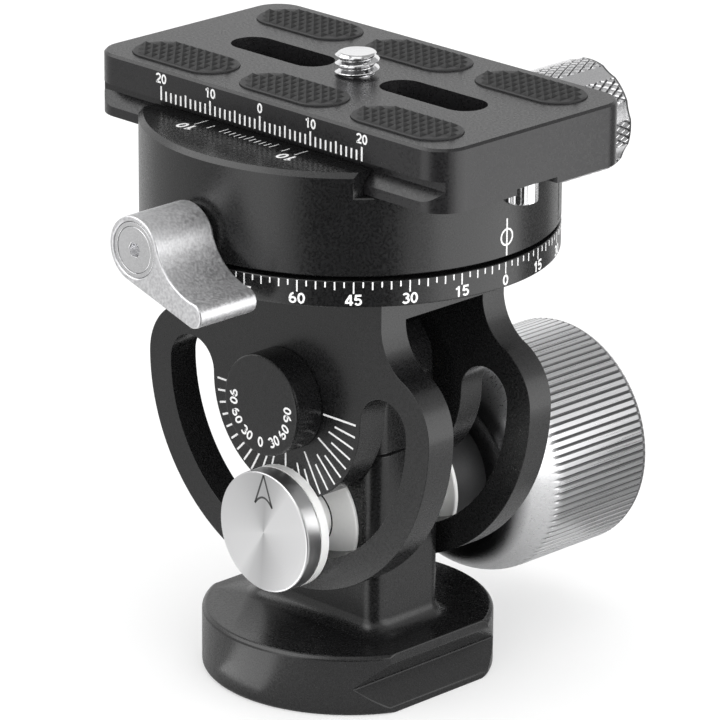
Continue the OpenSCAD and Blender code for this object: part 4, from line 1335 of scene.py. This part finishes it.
@dataclass
class Studio:
    """Camera at the photograph's place, a pale floor, soft lights and a white surround."""

    eye: Colour = (0.519196, -0.518834, 0.306091)
    azimuth: float = 45.02
    elevation: float = 19.65
    roll: float = 0.355
    focal_px: float = 5426.806
    frame_px: float = 720.0
    middle_px: Pair = (349.177, 376.397)
    sensor_mm: float = 36.0
    surround: float = 1.15
    ceiling: float = 0.38
    ceiling_from: Pair = (0.30, 0.80)
    floor_half: float = 4.0
    floor_tone: float = 0.60
    floor_glow: float = 0.40
    lamps: tuple[Lamp, ...] = (
        Lamp("left_box", (-0.14, -0.88, 0.30), 0.05, (0.45, 0.60), 0.8),
        Lamp("right_box", (0.85, 0.30, 0.25), 0.05, (0.55, 0.55), 1.0),
        Lamp("top_box", (0.05, -0.10, 0.95), 0.05, (0.5, 0.5), 0.6),
        Lamp("fill_box", (0.80, -0.30, 0.22), 0.04, (0.6, 0.5), 3.6, False),
    )
    cards: tuple[Card, ...] = (
        Card("front_card", (-70.0, -20.0), Slope.WHOLE, 0.02),
        Card("side_card", (50.0, 82.0), Slope.WHOLE, 0.25),
        Card("back_near", (-170.0, -98.0), Slope.NEAR, 0.6),
        Card("back_far", (-170.0, -124.0), Slope.FAR, 0.6),
        Card("back_gap", (-124.0, -106.0), Slope.FAR, 0.5),
        Card("base_strip", (-116.0, -86.0), Slope.FOOT, 2.2),
        Card("left_near", (-98.0, -78.0), Slope.NEAR, 1.4),
        Card("left_strip", (-106.0, -78.0), Slope.FAR, 1.4),
        Card("right_strip", (-4.0, 48.0), Slope.PAST_FOOT, 2.0),
        Card("over_strip", (-175.0, -70.0), Slope.OVER, 2.5),
        Card("over_dark", (75.0, 150.0), Slope.OVER_WIDE, 0.4),
    )

    def build(self) -> None:
        """Set the view transform, then make the camera, the surround, the floor, the lights and the cards."""
        bpy.context.scene.view_settings.view_transform = "Standard"
        self._camera()
        self._surround()
        self._floor()
        for lamp in self.lamps:
            self._light(lamp)
        for card in self.cards:
            self._card(card)

    def _camera(self) -> None:
        """Camera with the photograph's direction, lens and picture centre."""
        data = bpy.data.cameras.new("photo_camera")
        data.sensor_width = self.sensor_mm
        data.lens = self.focal_px / self.frame_px * self.sensor_mm
        data.shift_x = (self.frame_px / 2 - self.middle_px[0]) / self.frame_px
        data.shift_y = (self.middle_px[1] - self.frame_px / 2) / self.frame_px
        data.clip_start = 0.01
        a, e, r = (math.radians(angle) for angle in (self.azimuth, self.elevation, self.roll))
        back = Vector((math.sin(a) * math.cos(e), -math.cos(a) * math.cos(e), math.sin(e)))
        level = Vector((math.cos(a), math.sin(a), 0.0))
        plumb = back.cross(level)
        right = level * math.cos(r) + plumb * math.sin(r)
        up = plumb * math.cos(r) - level * math.sin(r)
        camera = bpy.data.objects.new("photo_camera", data)
        camera.matrix_world = Matrix.Translation(self.eye) @ Matrix((right, up, back)).transposed().to_4x4()
        bpy.context.scene.collection.objects.link(camera)
        bpy.context.scene.camera = camera

    def _surround(self) -> None:
        """World that is white to the camera, darkens overhead in reflections, and is softer as a light."""
        world = bpy.data.worlds.new("studio_surround")
        bpy.context.scene.world = world
        world.use_nodes = True
        tree = world.node_tree
        view = tree.nodes["Background"]
        feed(view, {"Color": WHITE, "Strength": self.surround})
        path = add_node(tree, "LightPath", {})
        coords = add_node(tree, "TexCoord", {})
        height = add_node(tree, "SeparateXYZ", {"Vector": coords.outputs["Generated"]})
        fall = add_node(tree, "MapRange", {
            "Value": height.outputs["Z"],
            "From Min": self.ceiling_from[0],
            "From Max": self.ceiling_from[1],
            "To Min": 1.0,
            "To Max": self.ceiling,
        }, interpolation_type="SMOOTHSTEP")
        shine = add_node(tree, "Background", {"Color": WHITE, "Strength": fall.outputs["Result"]})
        white = add_node(tree, "Background", {"Color": WHITE})
        for ray, seen in (("Is Glossy Ray", shine), ("Is Camera Ray", white), ("Is Transmission Ray", white)):
            view = add_node(tree, "MixShader", {
                "Fac": path.outputs[ray],
                1: view.outputs[0],
                2: seen.outputs[0],
            })
        feed(tree.nodes["World Output"], {"Surface": view.outputs[0]})

    def _board(self, name: str, shell: Shell, tone: float, glow: float) -> bpy.types.Object:
        """Stage piece with a matt paint that also glows.

        Args:
            name: Name of the piece.
            shell: Points and faces, in metres.
            tone: How pale the paint is.
            glow: Strength of its glow.

        Returns:
            The new object.
        """
        mesh = bpy.data.meshes.new(name)
        mesh.from_pydata(shell.points.tolist(), [], shell.faces[0].tolist())
        paint = bpy.data.materials.new(name + "_paint")
        paint.use_nodes = True
        feed(paint.node_tree.nodes["Principled BSDF"], {
            "Base Color": (tone, tone, tone, 1.0),
            "Roughness": 0.9,
            "Specular IOR Level": 0.0,
            "Emission Color": WHITE,
            "Emission Strength": glow,
        })
        mesh.materials.append(paint)
        board = bpy.data.objects.new(name, mesh)
        bpy.context.scene.collection.objects.link(board)
        return board

    def _card(self, card: Card) -> None:
        """Studio card that only reflections see: a sector of a cone about the object.

        Args:
            card: Its bearings, slope and tone.
        """
        reach, rise = (np.linspace(*ends, 8)[None, :] for ends in card.slope.value)
        bearing = np.radians(np.linspace(*card.sector, 12))[:, None]
        parts = np.broadcast_arrays(reach * np.cos(bearing), reach * np.sin(bearing), rise)
        board = self._board(card.name, grid(np.stack(parts, -1), False, False), 0.0, card.tone)
        board.visible_camera = board.visible_diffuse = False
        board.visible_shadow = board.visible_transmission = False

    def _floor(self) -> None:
        """Pale floor that keeps the shadow and is lifted to white for the camera alone."""
        half = np.array([-self.floor_half, self.floor_half])
        corners = np.stack(np.meshgrid(half, half, [0.0], indexing="ij"), -1)[:, :, 0]
        floor = self._board("floor", grid(corners, False, False), self.floor_tone, 0.0)
        tree = floor.active_material.node_tree
        path = add_node(tree, "LightPath", {})
        seen = {0: path.outputs["Is Camera Ray"], 1: self.floor_glow}
        glow = add_node(tree, "Math", seen, operation="MULTIPLY")
        feed(tree.nodes["Principled BSDF"], {"Emission Strength": glow.outputs["Value"]})

    def _light(self, lamp: Lamp) -> None:
        """Soft box at a place, turned to what it lights.

        Args:
            lamp: Its place, aim, size and power.
        """
        data = bpy.data.lights.new(lamp.name, "AREA")
        data.shape = "RECTANGLE"
        data.size, data.size_y = lamp.size
        data.energy = lamp.power
        made = bpy.data.objects.new(lamp.name, data)
        made.visible_glossy = lamp.mirrored
        gaze = Vector((0.0, 0.0, lamp.aim)) - Vector(lamp.at)
        made.matrix_world = Matrix.Translation(lamp.at) @ gaze.to_track_quat("-Z", "Y").to_matrix().to_4x4()
        bpy.context.scene.collection.objects.link(made)


def main() -> None:
    """Build the studio, then every sub-assembly from the foot up."""
    logging.basicConfig(level=logging.INFO, format="%(name)s: %(message)s")
    Studio().build()
    for kind in (Base, Fork, Drum, PanLever, Jaw, ClampKnob, CameraPlate, CameraScrew, TiltKnob):
        LOG.info("building %s", kind.__name__)
        kind().build()


if __name__ == "__main__":
    main()
